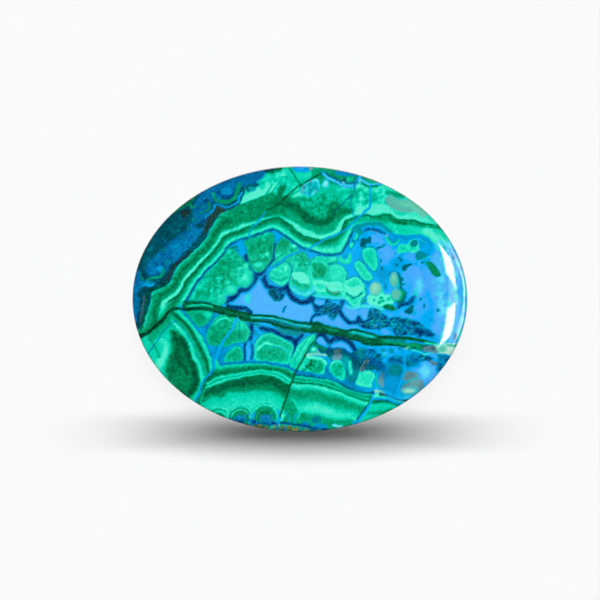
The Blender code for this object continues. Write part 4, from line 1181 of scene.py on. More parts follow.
# %% What is seen inside the cells
CELL_MARKS = [
    ("spot", GREEN, 0.84, 0.7, [(-6.6, 2.6), (1.15, 1)]),
    ("spot", GREEN, 0.84, 0.7, [(-8, 1.35), (0.75, 0.75)]),
    ("spot", GREEN, 0.82, 0.7, [(-9.3, 0.3), (0.8, 0.7)]),
    ("spot", GREEN, 0.8, 0.6, [(-11.4, 1.6), (0.5, 0.4)]),
    ("spot", GREEN, 0.8, 0.6, [(-12.3, 0.5), (0.35, 0.4)]),
    ("vein", GREEN, 0.78, 0.25, [(-10.2, 0), (-10.1, 1), (-9.8, 1.9)]),
    ("vein", GREEN, 0.3, 0.16, [(-8.3, 5.4), (-7.9, 5.9), (-7.3, 6), (-7.1, 5.6)]),
    ("spot", GREEN, 0.8, 0.6, [(-8.2, 5.5), (0.4, 0.3)]),
    ("vein", GREEN, 0.36, 0.14, [(-8.9, 2.9), (-8.2, 2.6), (-7.6, 2.1), (-7.2, 1.7)]),
    ("spot", GREEN, 0.94, 0.6, [(-8.4, 2.1), (0.35, 0.22)]),
    ("spot", GREEN, 0.95, 0.6, [(-6.9, 3.4), (0.3, 0.3)]),
    ("spot", GREEN, 0.93, 0.6, [(-6.4, 2.6), (0.35, 0.3)]),
    ("spot", GREEN, 0.88, 0.6, [(-6.2, 3.9), (0.3, 0.35)]),
    ("spot", GREEN, 0.92, 0.5, [(-5.45, 6.8), (0.45, 0.33)]),
    ("spot", GREEN, 0.86, 0.5, [(-4.1, 7.05), (0.36, 0.5)]),
    ("spot", GREEN, 0.36, 0.8, [(-4.8, 6.1), (0.7, 0.6)]),
    ("spot", GREEN, 0.38, 0.8, [(-3.6, 6.3), (0.35, 0.8)]),
    ("spot", GREEN, 0.95, 0.5, [(-5.35, 4.8), (0.42, 0.28)]),
    ("spot", GREEN, 0.93, 0.5, [(-4.6, 4.95), (0.38, 0.24)]),
    ("spot", GREEN, 0.9, 0.5, [(-3.85, 5.2), (0.42, 0.3)]),
    ("vein", GREEN, 0.4, 0.2, [(-5.7, 4.3), (-5, 4.4), (-4.4, 4.5), (-3.8, 4.6)]),
    ("spot", GREEN, 0.88, 0.6, [(-4.85, 3.95), (0.55, 0.32)]),
    ("vein", GREEN, 0.55, 0.14, [(-5.4, 3.6), (-4.9, 3.45), (-4.4, 3.6)]),
    ("spot", GREEN, 0.4, 0.7, [(-1.9, 6.3), (0.6, 0.45)]),
    ("spot", GREEN, 0.92, 0.5, [(-0.85, 6.15), (0.42, 0.22)]),
    ("spot", GREEN, 0.9, 0.5, [(-2.3, 5.15), (0.45, 0.36)]),
    ("spot", GREEN, 0.72, 0.6, [(-1.5, 5.5), (0.35, 0.25)]),
    ("spot", GREEN, 0.95, 0.5, [(-1.65, 3.5), (0.22, 0.45)]),
    ("vein", GREEN, 0.9, 0.22, [(-3.4, 3.6), (-2.8, 3.45), (-2.2, 3.2), (-1.9, 3.1)]),
    ("vein", GREEN, 0.92, 0.12, [(-3.4, 2.8), (-2.8, 2.55), (-2.1, 2.6), (-1.5, 2.9)]),
    ("vein", GREEN, 0.56, 0.14, [(-3.3, 2.55), (-2.6, 2.25), (-1.9, 2.3), (-1.4, 2.6)]),
    ("vein", GREEN, 0.9, 0.12, [(-3.1, 2.2), (-2.5, 1.95), (-1.9, 2), (-1.5, 2.2)]),
    ("spot", GREEN, 0.5, 0.8, [(0, 4.9), (0.55, 0.5)]), ("spot", GREEN, 0.82, 0.6, [(-0.4, 4), (0.5, 0.4)]),
    ("patch", GREEN, 0.98, None, [(-1, 2.9), (-0.3, 3.15), (0.4, 3), (0.9, 2.4), (0.9, 1.9), (0.4, 1.75),
        (-0.2, 1.9), (-0.8, 2.4)]),
    ("vein", EARTH, 0.66, 0.1, [(-1, 2.5), (-0.7, 2.1), (-0.2, 1.75), (0.3, 1.62), (0.9, 1.6)]),
    ("vein", GREEN, 0.42, 0.1, [(-0.9, 2.2), (-0.4, 1.8), (0.2, 1.55), (0.8, 1.5)]),
    ("vein", TEAL, 0.84, 0.5, [(-0.9, 1.4), (-0.2, 0.85), (0.5, 0.7), (1.1, 0.85)]),
    ("vein", GREEN, 0.94, 0.14, [(-0.9, 1.2), (-0.3, 0.75), (0.4, 0.6), (1.05, 0.75)]),
    ("spot", GREEN, 0.46, 0.5, [(2.1, 3.4), (0.75, 0.7)]),
    ("vein", GREEN, 0.34, 0.1, [(1.4, 3.9), (1.9, 4.15), (2.5, 4), (2.8, 3.4), (2.6, 2.8)]),
    ("vein", GREEN, 0.34, 0.1, [(1.3, 3), (1.5, 2.6), (2, 2.6), (2.4, 2.9)]),
    ("spot", GREEN, 0.86, 0.6, [(4.1, 3), (0.75, 0.8)]),
    ("vein", GREEN, 0.6, 0.12, [(3.1, 3.9), (3.2, 3.2), (3.1, 2.6), (3.3, 2.1)]),
    ("patch", GREEN, 0.96, None, [(1.4, 2.1), (2.3, 2.2), (3.3, 2), (4.4, 2.1), (4.8, 1.6), (4.6, 0.7),
        (3.6, 0.9), (2.8, 0.8), (1.9, 0.9), (1.4, 1.3)]),
    ("spot", GREEN, 0.78, 0.6, [(2.2, 1.5), (0.5, 0.3)]),
    ("vein", EARTH, 0.6, 0.1, [(2.8, 1.5), (3, 1.1), (3.4, 0.85), (3.9, 0.8), (4.4, 0.95)]),
    ("vein", GREEN, 0.3, 0.14, [(2.9, 1.2), (3.1, 0.85), (3.6, 0.62), (4.1, 0.62), (4.5, 0.8)]),
    ("vein", TEAL, 0.88, 0.3, [(1.5, 0.5), (3.2, 0.25), (4.2, 0.15), (4.7, 0.2)]),
    ("spot", TEAL, 0.9, 0.5, [(1.45, 1.2), (0.2, 0.35)]),
    ("vein", TEAL, 0.3, 0.1, [(5.1, 0.75), (5.4, 0.45), (5.7, 0.35), (6, 0.2), (7, 0.75)]),
    ("patch", GREEN, 0.99, None, [(5.1, 1.5), (5.8, 1.4), (6.6, 1.6), (7, 1.3), (6.8, 0.8), (6.1, 0.45),
        (5.4, 0.7)]),
    ("patch", GREEN, 0.88, 0.78, [(4.25, 4.9), (4.3, 4.4), (4.8, 4.05), (5.3, 4), (5.7, 4.3), (5.75, 4.9),
        (5.6, 5.2), (5.1, 5.25), (4.6, 5.15)]),
    ("patch", BLUE, 0.56, None, [(4.6, 5.2), (4.75, 4.7), (5.1, 4.55), (5.35, 4.85), (5.3, 5.3)]),
    ("patch", GREEN, 0.86, None, [(3.1, 4.9), (3.3, 4.5), (3.8, 4.4), (4.05, 4.7), (3.95, 4.95)]),
    ("patch", GREEN, 0.98, None, [(7.5, 0.3), (7.6, -0.4), (8.2, -0.65), (9.7, -0.8), (10.3, -0.7),
        (10.6, 0), (10.2, 0.6), (9.4, 0.7), (8.9, 1.1), (8, 0.7)]),
    ("vein", GREEN, 0.86, 0.18, [(9.1, 1.7), (9.2, 1.2), (9.4, 0.8)]),
    ("spot", GREEN, 0.5, 0.5, [(8.3, -0.05), (0.16, 0.16)]),
    ("spot", GREEN, 0.46, 0.5, [(9.15, 0.2), (0.2, 0.14)]),
    ("spot", GREEN, 0.5, 0.5, [(9.35, -0.15), (0.16, 0.16)]),
    ("spot", GREEN, 0.46, 0.5, [(9, -0.3), (0.14, 0.2)]),
    ("spot", GREEN, 0.6, 0.5, [(9.9, 0.1), (0.16, 0.2)]),
    ("patch", GREEN, 0.24, None, [(9.3, -0.85), (9.7, -0.5), (10.3, -0.6), (10.7, -1), (10.5, -1.2),
        (9.9, -1.15)]),
    ("vein", TEAL, 0.36, (0.3, 0.6), [(11.3, 1.5), (11.7, 0.6), (11.6, 0.1), (11.2, -0.3)]),
    ("vein", TEAL, 0.34, 0.3, [(10.1, 2.9), (10.4, 3.1), (11, 3), (11.3, 2.4), (11.3, 1.9)]),
    ("spot", GREEN, 0.7, 0.3, [(8.45, 1.25), (0.74, 0.82)]),
    ("spot", GREY, 0.84, 0.35, [(8.45, 1.25), (0.68, 0.76)]),
    ("spot", GREY, 0.9, 0.9, [(8.5, 1.35), (0.45, 0.45)]),
    ("spot", GREEN, 0.62, 0.35, [(10.6, 2.2), (0.62, 0.95)]),
    ("spot", GREY, 0.78, 0.7, [(10.55, 2.25), (0.42, 0.8)]),
    ("spot", GREY, 0.86, 0.9, [(10.5, 2.6), (0.3, 0.4)]),
    ("spot", GREEN, 0.3, 0.3, [(11.05, 0.55), (0.78, 0.74)]),
    ("spot", GREEN, 0.62, 0.4, [(10.85, 0.6), (0.68, 0.7)]),
    ("spot", GREY, 0.78, 0.7, [(10.75, 0.65), (0.5, 0.58)]),
    ("patch", BLUE, 0.5, None, [(7.1, 2.15), (7.9, 2.1), (7.85, 1.8), (7.6, 1.45), (7.4, 1.75)]),
    ("patch", TEAL, 0.62, None, [(6.7, -0.3), (7.5, 0.1), (7.4, -0.35), (6.9, -0.5)]),
    ("vein", TEAL, 0.9, 0.3, [(5.2, -0.75), (6, -1), (6.8, -0.75), (7.6, -0.7), (8.6, -0.85), (9.3, -1.05)]),
    ("patch", TEAL, 0.62, 0.55, [(13.2, 5.5), (13.8, 5.4), (14.3, 5.1), (14.1, 4.7), (13.6, 4.5),
        (13.2, 4.6), (13, 5)]),
    ("patch", GREEN, 0.74, 0.84, [(10.8, 5.6), (11.1, 6.2), (11.7, 6.4), (12.2, 6.2), (12.3, 5.7), (12, 5.4),
        (11.3, 5.3), (10.9, 5.4)]),
    ("patch", GREEN, 0.7, 0.9, [(12.15, 6.3), (12.2, 5.7), (12.6, 5.35), (13.1, 5.4), (13.4, 5.8),
        (13.4, 6.4), (13.2, 6.8), (12.7, 6.95), (12.3, 6.7)]),
    ("spot", TEAL, 0.18, 0.3, [(12.85, 6.42), (0.4, 0.36)]),
    ("spot", TEAL, 0.78, 0.4, [(12.85, 6.42), (0.25, 0.23)]),
    ("spot", TEAL, 0.3, 0.4, [(12.87, 6.43), (0.12, 0.1)]),
    ("patch", GREEN, 0.84, 0.8, [(9.6, 7.3), (9.65, 6.8), (9.95, 6.35), (10.45, 6.15), (10.95, 6.35),
        (11.2, 6.8), (11, 7.05), (10.4, 7.2)]),
    ("patch", BLUE, 0.56, None, [(10.05, 7.4), (10.1, 6.9), (10.4, 6.6), (10.8, 6.8), (10.9, 7.15),
        (10.5, 7.4)]),
    ("vein", BLUE, 0.2, 0.1, [(9.95, 7.2), (10.05, 6.85), (10.4, 6.5), (10.8, 6.65), (11, 6.95)]),
    ("vein", EARTH, 0.9, 0.12, [(7.5, 7.85), (9.3, 7.55), (10.4, 7.2), (11.4, 6.95)]),
    ("vein", TEAL, 0.92, 0.1, [(12.4, 7.1), (13.2, 7), (14.8, 6.2), (15.6, 5.6)]),
    ("vein", TEAL, 0.9, 0.1, [(13.2, 7.3), (14, 7), (14.6, 6.6)]),
    ("vein", TEAL, 0.86, 0.1, [(13.7, 4.6), (14.4, 4.9), (15, 5)]),
    ("spot", GREEN, 0.8, 0.6, [(-10.6, -1.75), (0.4, 0.35)]),
    ("spot", GREEN, 0.42, 0.9, [(-9.3, -4.3), (1.1, 0.8)]),
    ("spot", GREEN, 0.8, 0.8, [(-7.2, -2.9), (0.9, 0.6)]),
    ("patch", GREEN, 0.54, 0.64, [(-5, -6.2), (-4.7, -5.6), (-4, -5.35), (-3.2, -5.35), (-2.3, -5.6),
        (-1.6, -6.1), (-1.5, -6.7), (-2.4, -7), (-4.7, -6.8)]),
    ("vein", GREEN, 0.97, 0.26, [(-4.9, -5.5), (-4.4, -5.05), (-3.9, -4.85), (-3.4, -5)]),
    ("vein", GREEN, 0.88, 0.14, [(-3.5, -5.1), (-2.8, -5.15), (-2.1, -5.45), (-1.6, -5.9), (-1.3, -6.4)]),
    ("vein", TEAL, 0.66, 0.12, [(-3.4, -5.3), (-2.6, -5.35), (-1.9, -5.75), (-1.4, -6.3)]),
    ("vein", GREEN, 0.56, 0.14, [(-4.9, -4.9), (-4.3, -4.4), (-3.5, -4.3), (-1.7, -5), (-1.2, -5.4)]),
    ("vein", GREEN, 0.9, 0.2, [(1.1, -4.4), (0.6, -5.1), (0.1, -5.9), (-0.3, -6.8)]),
    ("vein", GREEN, 0.88, 0.14, [(0.3, -4.6), (-0.2, -5.4), (-0.7, -6.4)]),
    ("vein", GREY, 0.5, 0.14, [(1.3, -5), (1, -5.4), (0.7, -5.8)]),
    ("vein", GREEN, 0.24, 0.16, [(1.75, -4.1), (1.6, -4.6), (1.2, -5.1), (0.7, -5.9)]),
    ("patch", GREEN, 0.62, None, [(1.3, -5.4), (1.9, -5.2), (2.6, -5.5), (3.2, -6.1), (3.2, -6.8),
        (2.5, -6.4), (0.9, -6.1)]),
    ("spot", GREEN, 0.98, 0.6, [(1.45, -5.6), (0.24, 0.2)]),
    ("spot", GREY, 0.92, 0.6, [(2.05, -5.75), (0.3, 0.24)]),
    ("spot", GREEN, 0.95, 0.6, [(2.6, -6.15), (0.24, 0.24)]),
    ("spot", GREEN, 0.5, 0.6, [(1.7, -7.5), (0.8, 0.6)]),
    ("vein", GREEN, 0.97, 0.3, [(0.8, -6.5), (1.6, -6.55), (2.4, -6.8), (2.8, -7.2)]),
    ("spot", GREEN, 0.86, 0.5, [(0.3, -7.6), (0.4, 0.3)]),
    ("spot", GREEN, 0.6, 0.7, [(4.1, -8.1), (0.5, 0.5)]),
    ("vein", GREEN, 0.97, 0.25, [(3.5, -7.2), (3.9, -6.95), (4.5, -7.05)]),
    ("patch", TEAL, 0.56, None, [(3, -5.9), (3.4, -5.4), (4.4, -5.4), (5.4, -5.9), (6.2, -6.5), (6.8, -7.1),
        (6.6, -8), (6.2, -9.2), (5.3, -9.2), (5, -8), (4.8, -7.2), (3.9, -6.7), (3.2, -6.8)]),
    ("vein", TEAL, 0.32, 0.9, [(3.1, -5.9), (3.8, -5.6), (4.8, -5.8), (5.8, -6.5), (6.5, -7.2)]),
    ("vein", BLUE, 0.2, 0.3, [(3.05, -5.75), (3.6, -5.45), (4.4, -5.45), (5.2, -5.8), (6, -6.4), (6.6, -7)]),
    ("vein", GREY, 0.2, 0.7, [(4.1, -5.9), (4.2, -6.4)]),
    ("vein", EARTH, 0.35, 0.2, [(4.5, -5.5), (4.45, -6.1)]),
    ("spot", GREY, 0.56, 0.8, [(4.1, -6.6), (0.6, 0.3)]),
    ("spot", TEAL, 0.34, 0.8, [(6.1, -7.3), (0.5, 0.5)]),
    ("spot", TEAL, 0.68, 0.9, [(5.2, -7.1), (0.5, 0.7)]),
    ("vein", GREEN, 0.84, 0.4, [(5.6, -7.1), (5.65, -8.3)]),
    ("patch", BLUE, 0.84, None, [(1.8, -4.8), (2, -4.3), (2.4, -4.15), (2.7, -4.5), (2.85, -5), (2.6, -5.1),
        (2.2, -4.95)]),
    ("patch", BLUE, 0.84, None, [(3.4, -5.35), (3.8, -5.05), (4.4, -4.85), (5, -4.9), (5.75, -5.6),
        (5.8, -6), (5.3, -5.7), (4.8, -5.45), (4.2, -5.4), (3.7, -5.5)]),
    ("patch", TEAL, 0.4, None, [(1.7, -5), (2.8, -5.4), (2.9, -6), (2.4, -6.1), (1.9, -5.7)]),
    ("vein", GREEN, 0.28, 0.3, [(1.5, -5.1), (2.1, -5.35), (2.7, -5.65)]),
    ("patch", TEAL, 0.4, None, [(6.8, -7.4), (7.1, -6.8), (7.6, -6.6), (8.3, -6.65), (9, -7), (9.4, -7.5),
        (9.3, -8), (8.8, -8.1), (8.4, -7.9), (7.4, -8)]),
    ("vein", BLUE, 0.26, 0.8, [(7.3, -6.95), (8, -6.9), (8.8, -7.2), (9.3, -7.7)]),
    ("vein", GREY, 0.28, 0.5, [(6.9, -7.9), (7.2, -7.3), (7.5, -6.9)]),
    ("vein", EARTH, 0.3, 0.16, [(7.15, -7.6), (7.45, -7)]),
    ("vein", TEAL, 0.58, 1.3, [(9.2, -8.6), (9.2, -9.6)]),
    ("spot", GREY, 0.3, 0.9, [(9.5, -8.7), (0.7, 0.6)]), ("spot", GREY, 0.6, 0.9, [(9.3, -9.4), (0.6, 0.6)]),
    ("vein", BLUE, 0.62, 0.2, [(8.9, -8.2), (8.75, -8.9), (8.7, -9.6), (8.9, -10.1)]),
    ("vein", GREEN, 0.72, 0.16, [(8.6, -8.5), (8.6, -9.3), (8.7, -10)]),
]
lay_marks(CELL_MARKS)
SPECKLED = [
    # outline, tones, size, count, seed
    ([(-4.9, -5.9), (-4, -5.5), (-2.4, -5.7), (-1.6, -6.3), (-2.2, -7), (-4.8, -6.8)], (0.36, 0.46, 0.72),
        0.1, 150, 81),
    ([(0.2, -8), (0.9, -6.9), (1.6, -6.8), (2.6, -7.3), (2.4, -8.2)], (0.2, 0.32, 0.44, 0.8), 0.11, 110, 82),
    ([(3.4, -8.4), (3.6, -7.2), (4.6, -7.2), (4.9, -8.6)], (0.45, 0.55, 0.85), 0.12, 50, 83),
    ([(1.3, 4.2), (1.3, 2.7), (2.6, 2.6), (2.9, 3.6), (2.2, 4.2)], (0.3, 0.4, 0.66), 0.12, 110, 84),
    ([(-0.9, 5.3), (0.7, 5.2), (0.8, 3.9), (-0.9, 3.8)], (0.45, 0.55, 0.82), 0.14, 80, 85),
    ([(-6, 7), (-3.2, 7.5), (-3.2, 4.6), (-5.9, 4.4)], (0.38, 0.5, 0.62), 0.16, 160, 86),
    ([(-9, 4.8), (-8, 5.9), (-6.4, 4.4), (-7, 2), (-10.5, 1), (-11.6, 1.5)], (0.38, 0.5, 0.66, 0.8), 0.17,
        260, 87),
    ([(-10.5, -4.6), (-9.9, -2.5), (-8.4, -1.9), (-7, -3), (-7.6, -4.8)], (0.4, 0.5, 0.62), 0.15, 160, 88),
    ([(-2.8, 6), (-2, 7), (-0.6, 5.9), (-2.6, 4.7)], (0.4, 0.52, 0.7), 0.15, 80, 89),
    ([(-13, -0.2), (-10.6, 3.2), (-9, 3), (-8.8, -0.3)], (0.42, 0.55, 0.7, 0.82), 0.16, 180, 90),
    ([(-8.6, -6.9), (-7.4, -5.4), (-6.7, -6), (-6.7, -6.9)], (0.42, 0.56, 0.66), 0.12, 60, 91),
]
for outline, tones, size, count, seed in SPECKLED:
    slab.scatter([(GREEN, tone) for tone in tones], outline, size, count, seed, soft=0.6, strength=0.6)
print("marks in the cells:", len(CELL_MARKS))

# %% Dark bits, the grey and sky patches at the right, and painted reflections by the rim
DARK_BITS = [
    [(6.75, 6.7), (6.95, 7), (7.5, 6.95), (7.7, 7.15), (7.95, 7.2), (7.95, 6.45), (7.5, 6.4), (7.3, 6),
        (6.95, 5.9), (6.65, 6.1)],
    [(11.45, 3.5), (11.6, 3.9), (12.6, 4.15), (12.55, 3.95), (12.1, 3.75), (11.95, 3.35), (11.7, 3.25)],
    [(11.65, -1.25), (12.3, -0.75), (12.75, -0.6), (12.8, -0.9), (12.6, -1.4), (12.3, -1.65), (11.9, -1.5)],
]
for outline in DARK_BITS:
    slab.patch(TEAL, 0.36, outline)
slab.patch(GREEN, 0.4, [
    (14.2, 4.1), (14.4, 4.35), (14.8, 4.25), (15.4, 3.75), (15.85, 3.15), (15.9, 2.75), (15.5, 2.6),
    (15.1, 2.8), (14.7, 3.4)], rim=0.26, rim_width=0.2)
slab.vein(BLUE, 0.22, 0.3, [(7.3, 7.9), (8, 8), (8.8, 7.85), (9.5, 7.6)], soft=0.16)
slab.patch(BLUE, 0.3, [
    (12.3, 0), (12.6, 0.35), (12.95, 0.4), (12.9, 0.1), (12.6, -0.3), (12.35, -0.35)])
DOTS = [
    (13.6, 0.1, 0.18, 0.2), (14, -0.7, 0.15, 0.3), (15.55, -1.1, 0.2, 0.2), (11.1, 4.75, 0.22, 0.14),
    (11.35, 4.5, 0.16, 0.16), (11.45, 2.4, 0.16, 0.2), (9.2, 3.6, 0.16, 0.25), (10.8, 3.95, 0.2, 0.16),
    (11.6, 1.75, 0.3, 0.12), (9, 5.95, 0.35, 0.12), (9.35, 6.2, 0.2, 0.12), (8.7, 5.85, 0.14, 0.16),
    (13.8, 4.2, 0.2, 0.12), (9, 4.4, 0.1, 0.3), (9.5, 1.6, 0.1, 0.3),
]
for x, y, wide, high in DOTS:
    slab.spot(TEAL, 0.42, x, y, wide, high, soft=0.4, strength=0.8)
RIGHT_PATCHES = [
    ("spot", GREEN, 0.1, 0.5, [(0.65, -7.6), (0.18, 0.14)]),
    ("spot", GREEN, 0.1, 0.5, [(1.05, -7.35), (0.18, 0.16)]),
    ("spot", GREEN, 0.1, 0.5, [(1.2, -6.9), (0.16, 0.18)]),
    ("vein", GREY, 0.92, 0.26, [(0.7, -6.3), (1.2, -6.15), (2, -6.2), (2.8, -6.3)]),
    ("spot", BLUE, 0.46, 0.8, [(10.6, -8.8), (1.2, 2)]),
    ("spot", TEAL, 0.56, 0.9, [(10.7, -8.1), (0.8, 0.9)]),
    ("spot", BLUE, 0.56, 0.9, [(10.4, -9.4), (0.8, 0.7)]),
    ("spot", BLUE, 0.7, 0.7, [(14.2, -8.4), (2, 1.9)]), ("spot", BLUE, 0.97, 0.8, [(14, -8.1), (1.3, 1.1)]),
    ("spot", BLUE, 0.36, 0.9, [(12.6, -7.1), (0.9, 0.5)]),
    ("spot", GREY, 0.42, 0.6, [(12.4, -8.7), (0.9, 0.6)]),
    ("patch", GREY, 0.5, 0.36, [(11.8, -9.5), (12.6, -9.1), (13.2, -8.9), (13.8, -9.2), (13.9, -9.7),
        (13.3, -10.6), (12.6, -10.9), (11.9, -10.8), (11.4, -10.4), (11.4, -9.9)]),
    ("spot", GREY, 0.6, 0.9, [(13, -9.3), (0.7, 0.4)]),
    ("vein", TEAL, 0.8, 0.16, [(11.6, -9.6), (12.4, -9.2), (13.2, -8.9)]),
    ("spot", TEAL, 0.9, 0.9, [(12.3, -10.35), (0.9, 0.42)]),
    ("spot", GREY, 0.95, 0.9, [(12.2, -10.35), (0.6, 0.25)]),
    ("patch", GREY, 0.36, None, [(14.2, -6.8), (15.5, -7), (15.6, -7.5), (15.1, -7.4), (14.6, -7.15)]),
    ("spot", TEAL, 0.48, 0.7, [(13.8, -6.6), (0.6, 0.3)]),
    ("spot", BLUE, 0.8, 0.6, [(15, -6.5), (0.9, 0.4)]),
    ("spot", TEAL, 0.72, 0.8, [(16.2, -6.9), (0.6, 0.7)]),
    ("vein", TEAL, 0.92, 0.2, [(12.5, -5.75), (13.2, -5.85), (14, -6.2), (14.7, -6.05), (15.6, -5.98),
        (17.3, -6.35)]),
]
lay_marks(RIGHT_PATCHES)
# by the right rim: the wide pale teal streak over the bars is painted highlight haze and the pale teal streak
# along the rim is a painted reflection; the azure line and the two dark spots are the stone's own colour
RIM_MARKS_AND_PAINTED_REFLECTIONS = [
    ("vein", TEAL, 0.88, 1.2, [(15.9, 6.2), (16.6, 4.5), (17.1, 2.5), (17.3, 0.6), (17.1, -1.5),
        (16.7, -3.4), (16.1, -4.9)]),
    ("vein", TEAL, 0.94, 0.9, [(17, 6.4), (17.8, 4.4), (18.3, 2.4), (18.5, 0.4), (18.4, -1.6), (18.1, -3.4),
        (17.6, -4.9)]),
    ("vein", BLUE, 0.66, 0.3, [(17.1, 5.8), (17.7, 4.2), (18.1, 2.4), (18.2, 0.6), (18.15, -1.2),
        (17.9, -2.8), (17.3, -5)]),
    ("spot", BLUE, 0.2, 0.8, [(17.35, 4.9), (0.2, 0.35)]),
    ("spot", BLUE, 0.2, 0.8, [(17.5, -4.2), (0.2, 0.45)]),
]
for what, mineral, tone, extra, route in RIM_MARKS_AND_PAINTED_REFLECTIONS:
    if what == "vein":
        slab.vein(mineral, tone, extra, route, soft=0.25, strength=0.75)
    else:
        slab.spot(mineral, tone, *route[0], *route[1], soft=extra)
slab.scatter(BLUES, [
    (15.6, 6.6), (17.6, 5.8), (18.8, 1), (18.6, -2), (17.6, -5), (15.6, -5), (16.6, 0)], 0.25, 160, 45,
             soft=0.7, strength=0.5)
LOWER_GRANULES = [
    # outline, grains, seed
    ([(15.6, -6.3), (17, -6.3), (16.2, -7.5), (15.4, -8.2), (15.6, -7.2)], 50, 54),
    ([(7.2, -5.7), (8, -5.6), (8.8, -6), (9.2, -6.6), (9, -6.8), (8, -6.4), (7.2, -6.4)], 45, 51),
    ([(10.1, -6.6), (10.8, -6.4), (11.6, -6.5), (12.6, -7.2), (12, -7.5), (11.2, -7), (10.3, -7.1)], 70, 52),
    ([(12.4, -6.2), (14, -6.4), (15.2, -6.7), (14, -6.9), (13, -6.9)], 50, 53),
]
for outline, count, seed in LOWER_GRANULES:
    slab.patch(BLUE, 0.3, outline, soft=0.2, strength=0.7)
    slab.scatter(GRANULES, outline, 0.16, count, seed)
    slab.scatter(BRIGHT_GRANULES, outline, 0.09, count // 3, seed + 10)
print("dark bits:", len(DARK_BITS) + len(DOTS) + 2)

# %% [markdown]
# ## The crack and the veins
#
# Last of all the slab broke. The wide crack from edge to edge healed with dark green
# malachite in strands, with slivers of the pale filling caught between them. Thin cracks
# healed with azure chrysocolla and now look like drawn lines.

# %% The great crack
CRACK_UPPER = [
    (-13.4, -0.15), (-12.5, -0.1), (-11.5, -0.25), (-10.6, -0.3), (-9.1, -0.75), (-8, -0.95), (-6, -1.5),
    (-3, -1.8), (-2, -2.05), (0, -2.45), (1, -2.5), (1.8, -2.45), (2.5, -2.7), (3, -3), (4, -3.15),
    (5, -3.45), (5.6, -3.25), (6.2, -3.25), (7, -3.5), (8, -3.7), (9, -4.1), (10, -4), (11, -4.15),
    (13, -4.3), (15, -4.7), (16, -5.05),
]
CRACK_LOWER = [
    (16, -5.5), (14, -5.8), (12, -5.4), (9, -5.15), (8, -5.2), (7.2, -5.05), (6.5, -4.7), (5.5, -4.5),
    (4.8, -4.3), (4, -4.2), (2.5, -3.8), (1.5, -3.75), (-1.5, -3.3), (-2.5, -3.1), (-4.2, -2.6),
    (-6.2, -2.5), (-7, -2.2), (-8, -1.95), (-10, -1.35), (-12, -1.25), (-13.2, -1.15),
]
slab.patch(GREEN, 0.22, CRACK_UPPER + CRACK_LOWER, rim=0.08, rim_width=0.18)
CRACK_MARKS = [
    ("vein", GREEN, 0.72, 0.3, [(-12.8, -0.75), (-12, -0.65), (-11, -0.6), (-10.1, -0.75)]),
    ("vein", TEAL, 0.86, 0.24, [(-5.6, -2), (-3.5, -2.12), (-1.5, -2.5), (-0.5, -2.75), (1, -2.98)]),
    ("vein", TEAL, 0.55, 0.2, [(-4.4, -2.35), (-3, -2.5), (-1.6, -2.85), (-0.3, -3.1)]),
    ("vein", GREEN, 0.62, 0.14, [(2.9, -3.3), (3.5, -3.42), (4.1, -3.55)]),
    ("patch", TEAL, 0.7, None, [(5.3, -3.55), (6, -3.4), (7.7, -3.85), (8.8, -4.2), (8.1, -4.32),
        (7.2, -4.18), (6.3, -3.92), (5.6, -3.8)]),
    ("vein", GREEN, 0.8, 0.14, [(5.7, -3.6), (6.6, -3.75), (7.6, -4.05), (8.3, -4.2)]),
    ("vein", GREEN, 0.48, 0.12, [(9, -4.5), (12, -4.75), (13.2, -4.9), (14.6, -5)]),
    ("vein", GREEN, 0.46, 0.45, [(9.4, -4.85), (10.8, -4.98), (12.2, -5.15), (13.4, -5.35)]),
    ("vein", GREEN, 0.62, 0.12, [(10.4, -5), (11.4, -5.2), (12.6, -5.45), (13.6, -5.6)]),
    ("vein", TEAL, 0.62, 0.2, [(9.6, -4.45), (11, -4.65), (12.4, -4.85)]),
    ("vein", BLUE, 0.6, 0.25, [(12, -4.7), (13.4, -4.85), (15, -5)]),
    ("vein", GREEN, 0.04, 0.16, [(-13, -0.3), (-10.4, -0.45), (-9, -0.9), (-5.2, -1.75), (-3, -1.95),
        (-1, -2.4), (2.5, -2.9), (4, -3.3), (5.2, -3.55), (6.2, -3.4), (8, -3.85), (9, -4.25), (11, -4.3),
        (13, -4.45), (15, -4.85)]),
    ("vein", GREEN, 0.04, 0.18, [(-13, -1.05), (-11, -1.1), (-7, -2), (-5, -2.4), (-3.4, -2.6), (-2, -3),
        (0, -3.4), (2, -3.6), (6, -4.45), (7.4, -4.95), (9, -5), (11, -5.2), (13, -5.5)]),
    ("vein", GREEN, 0.06, 0.12, [(1.2, -3.15), (3, -3.5), (5, -3.95), (8.8, -4.6)]),
    ("patch", GREY, 0.5, 0.4, [(13.8, -5.5), (14.2, -5.25), (14.9, -5.1), (15.4, -5.2), (15.8, -5.7),
        (15.5, -6), (14.1, -5.85)]),
    ("spot", GREY, 0.1, 0.8, [(15, -5.5), (0.25, 0.16)]),
    ("patch", GREY, 0.96, None, [(15.2, -4.9), (17, -4.95), (18.4, -5), (17.6, -6.3), (17, -6.3),
        (16.3, -6.1), (15.7, -5.95), (15.4, -5.4)]),
    ("spot", GREY, 0.72, 0.8, [(16.1, -5.6), (0.4, 0.25)]),
    ("vein", GREEN, 0.45, 0.16, [(16.6, -5.15), (17.3, -5.2), (17.9, -5.1)]),
    ("vein", GREEN, 0.88, 0.22, [(14.2, -4.75), (15.2, -4.95), (16.2, -5.2)]),
    ("spot", GREY, 0.85, 0.6, [(12.1, -5.55), (0.42, 0.24)]),
    ("spot", GREEN, 0.5, 0.8, [(12.3, -5.6), (0.28, 0.2)]),
]
lay_marks(CRACK_MARKS)
slab.vein(GREEN, 0.25, 0.9, [
    (-18.6, -4), (-17, -3.3), (-16, -2.4), (-15, -1.2)], soft=0.3, strength=0.6)
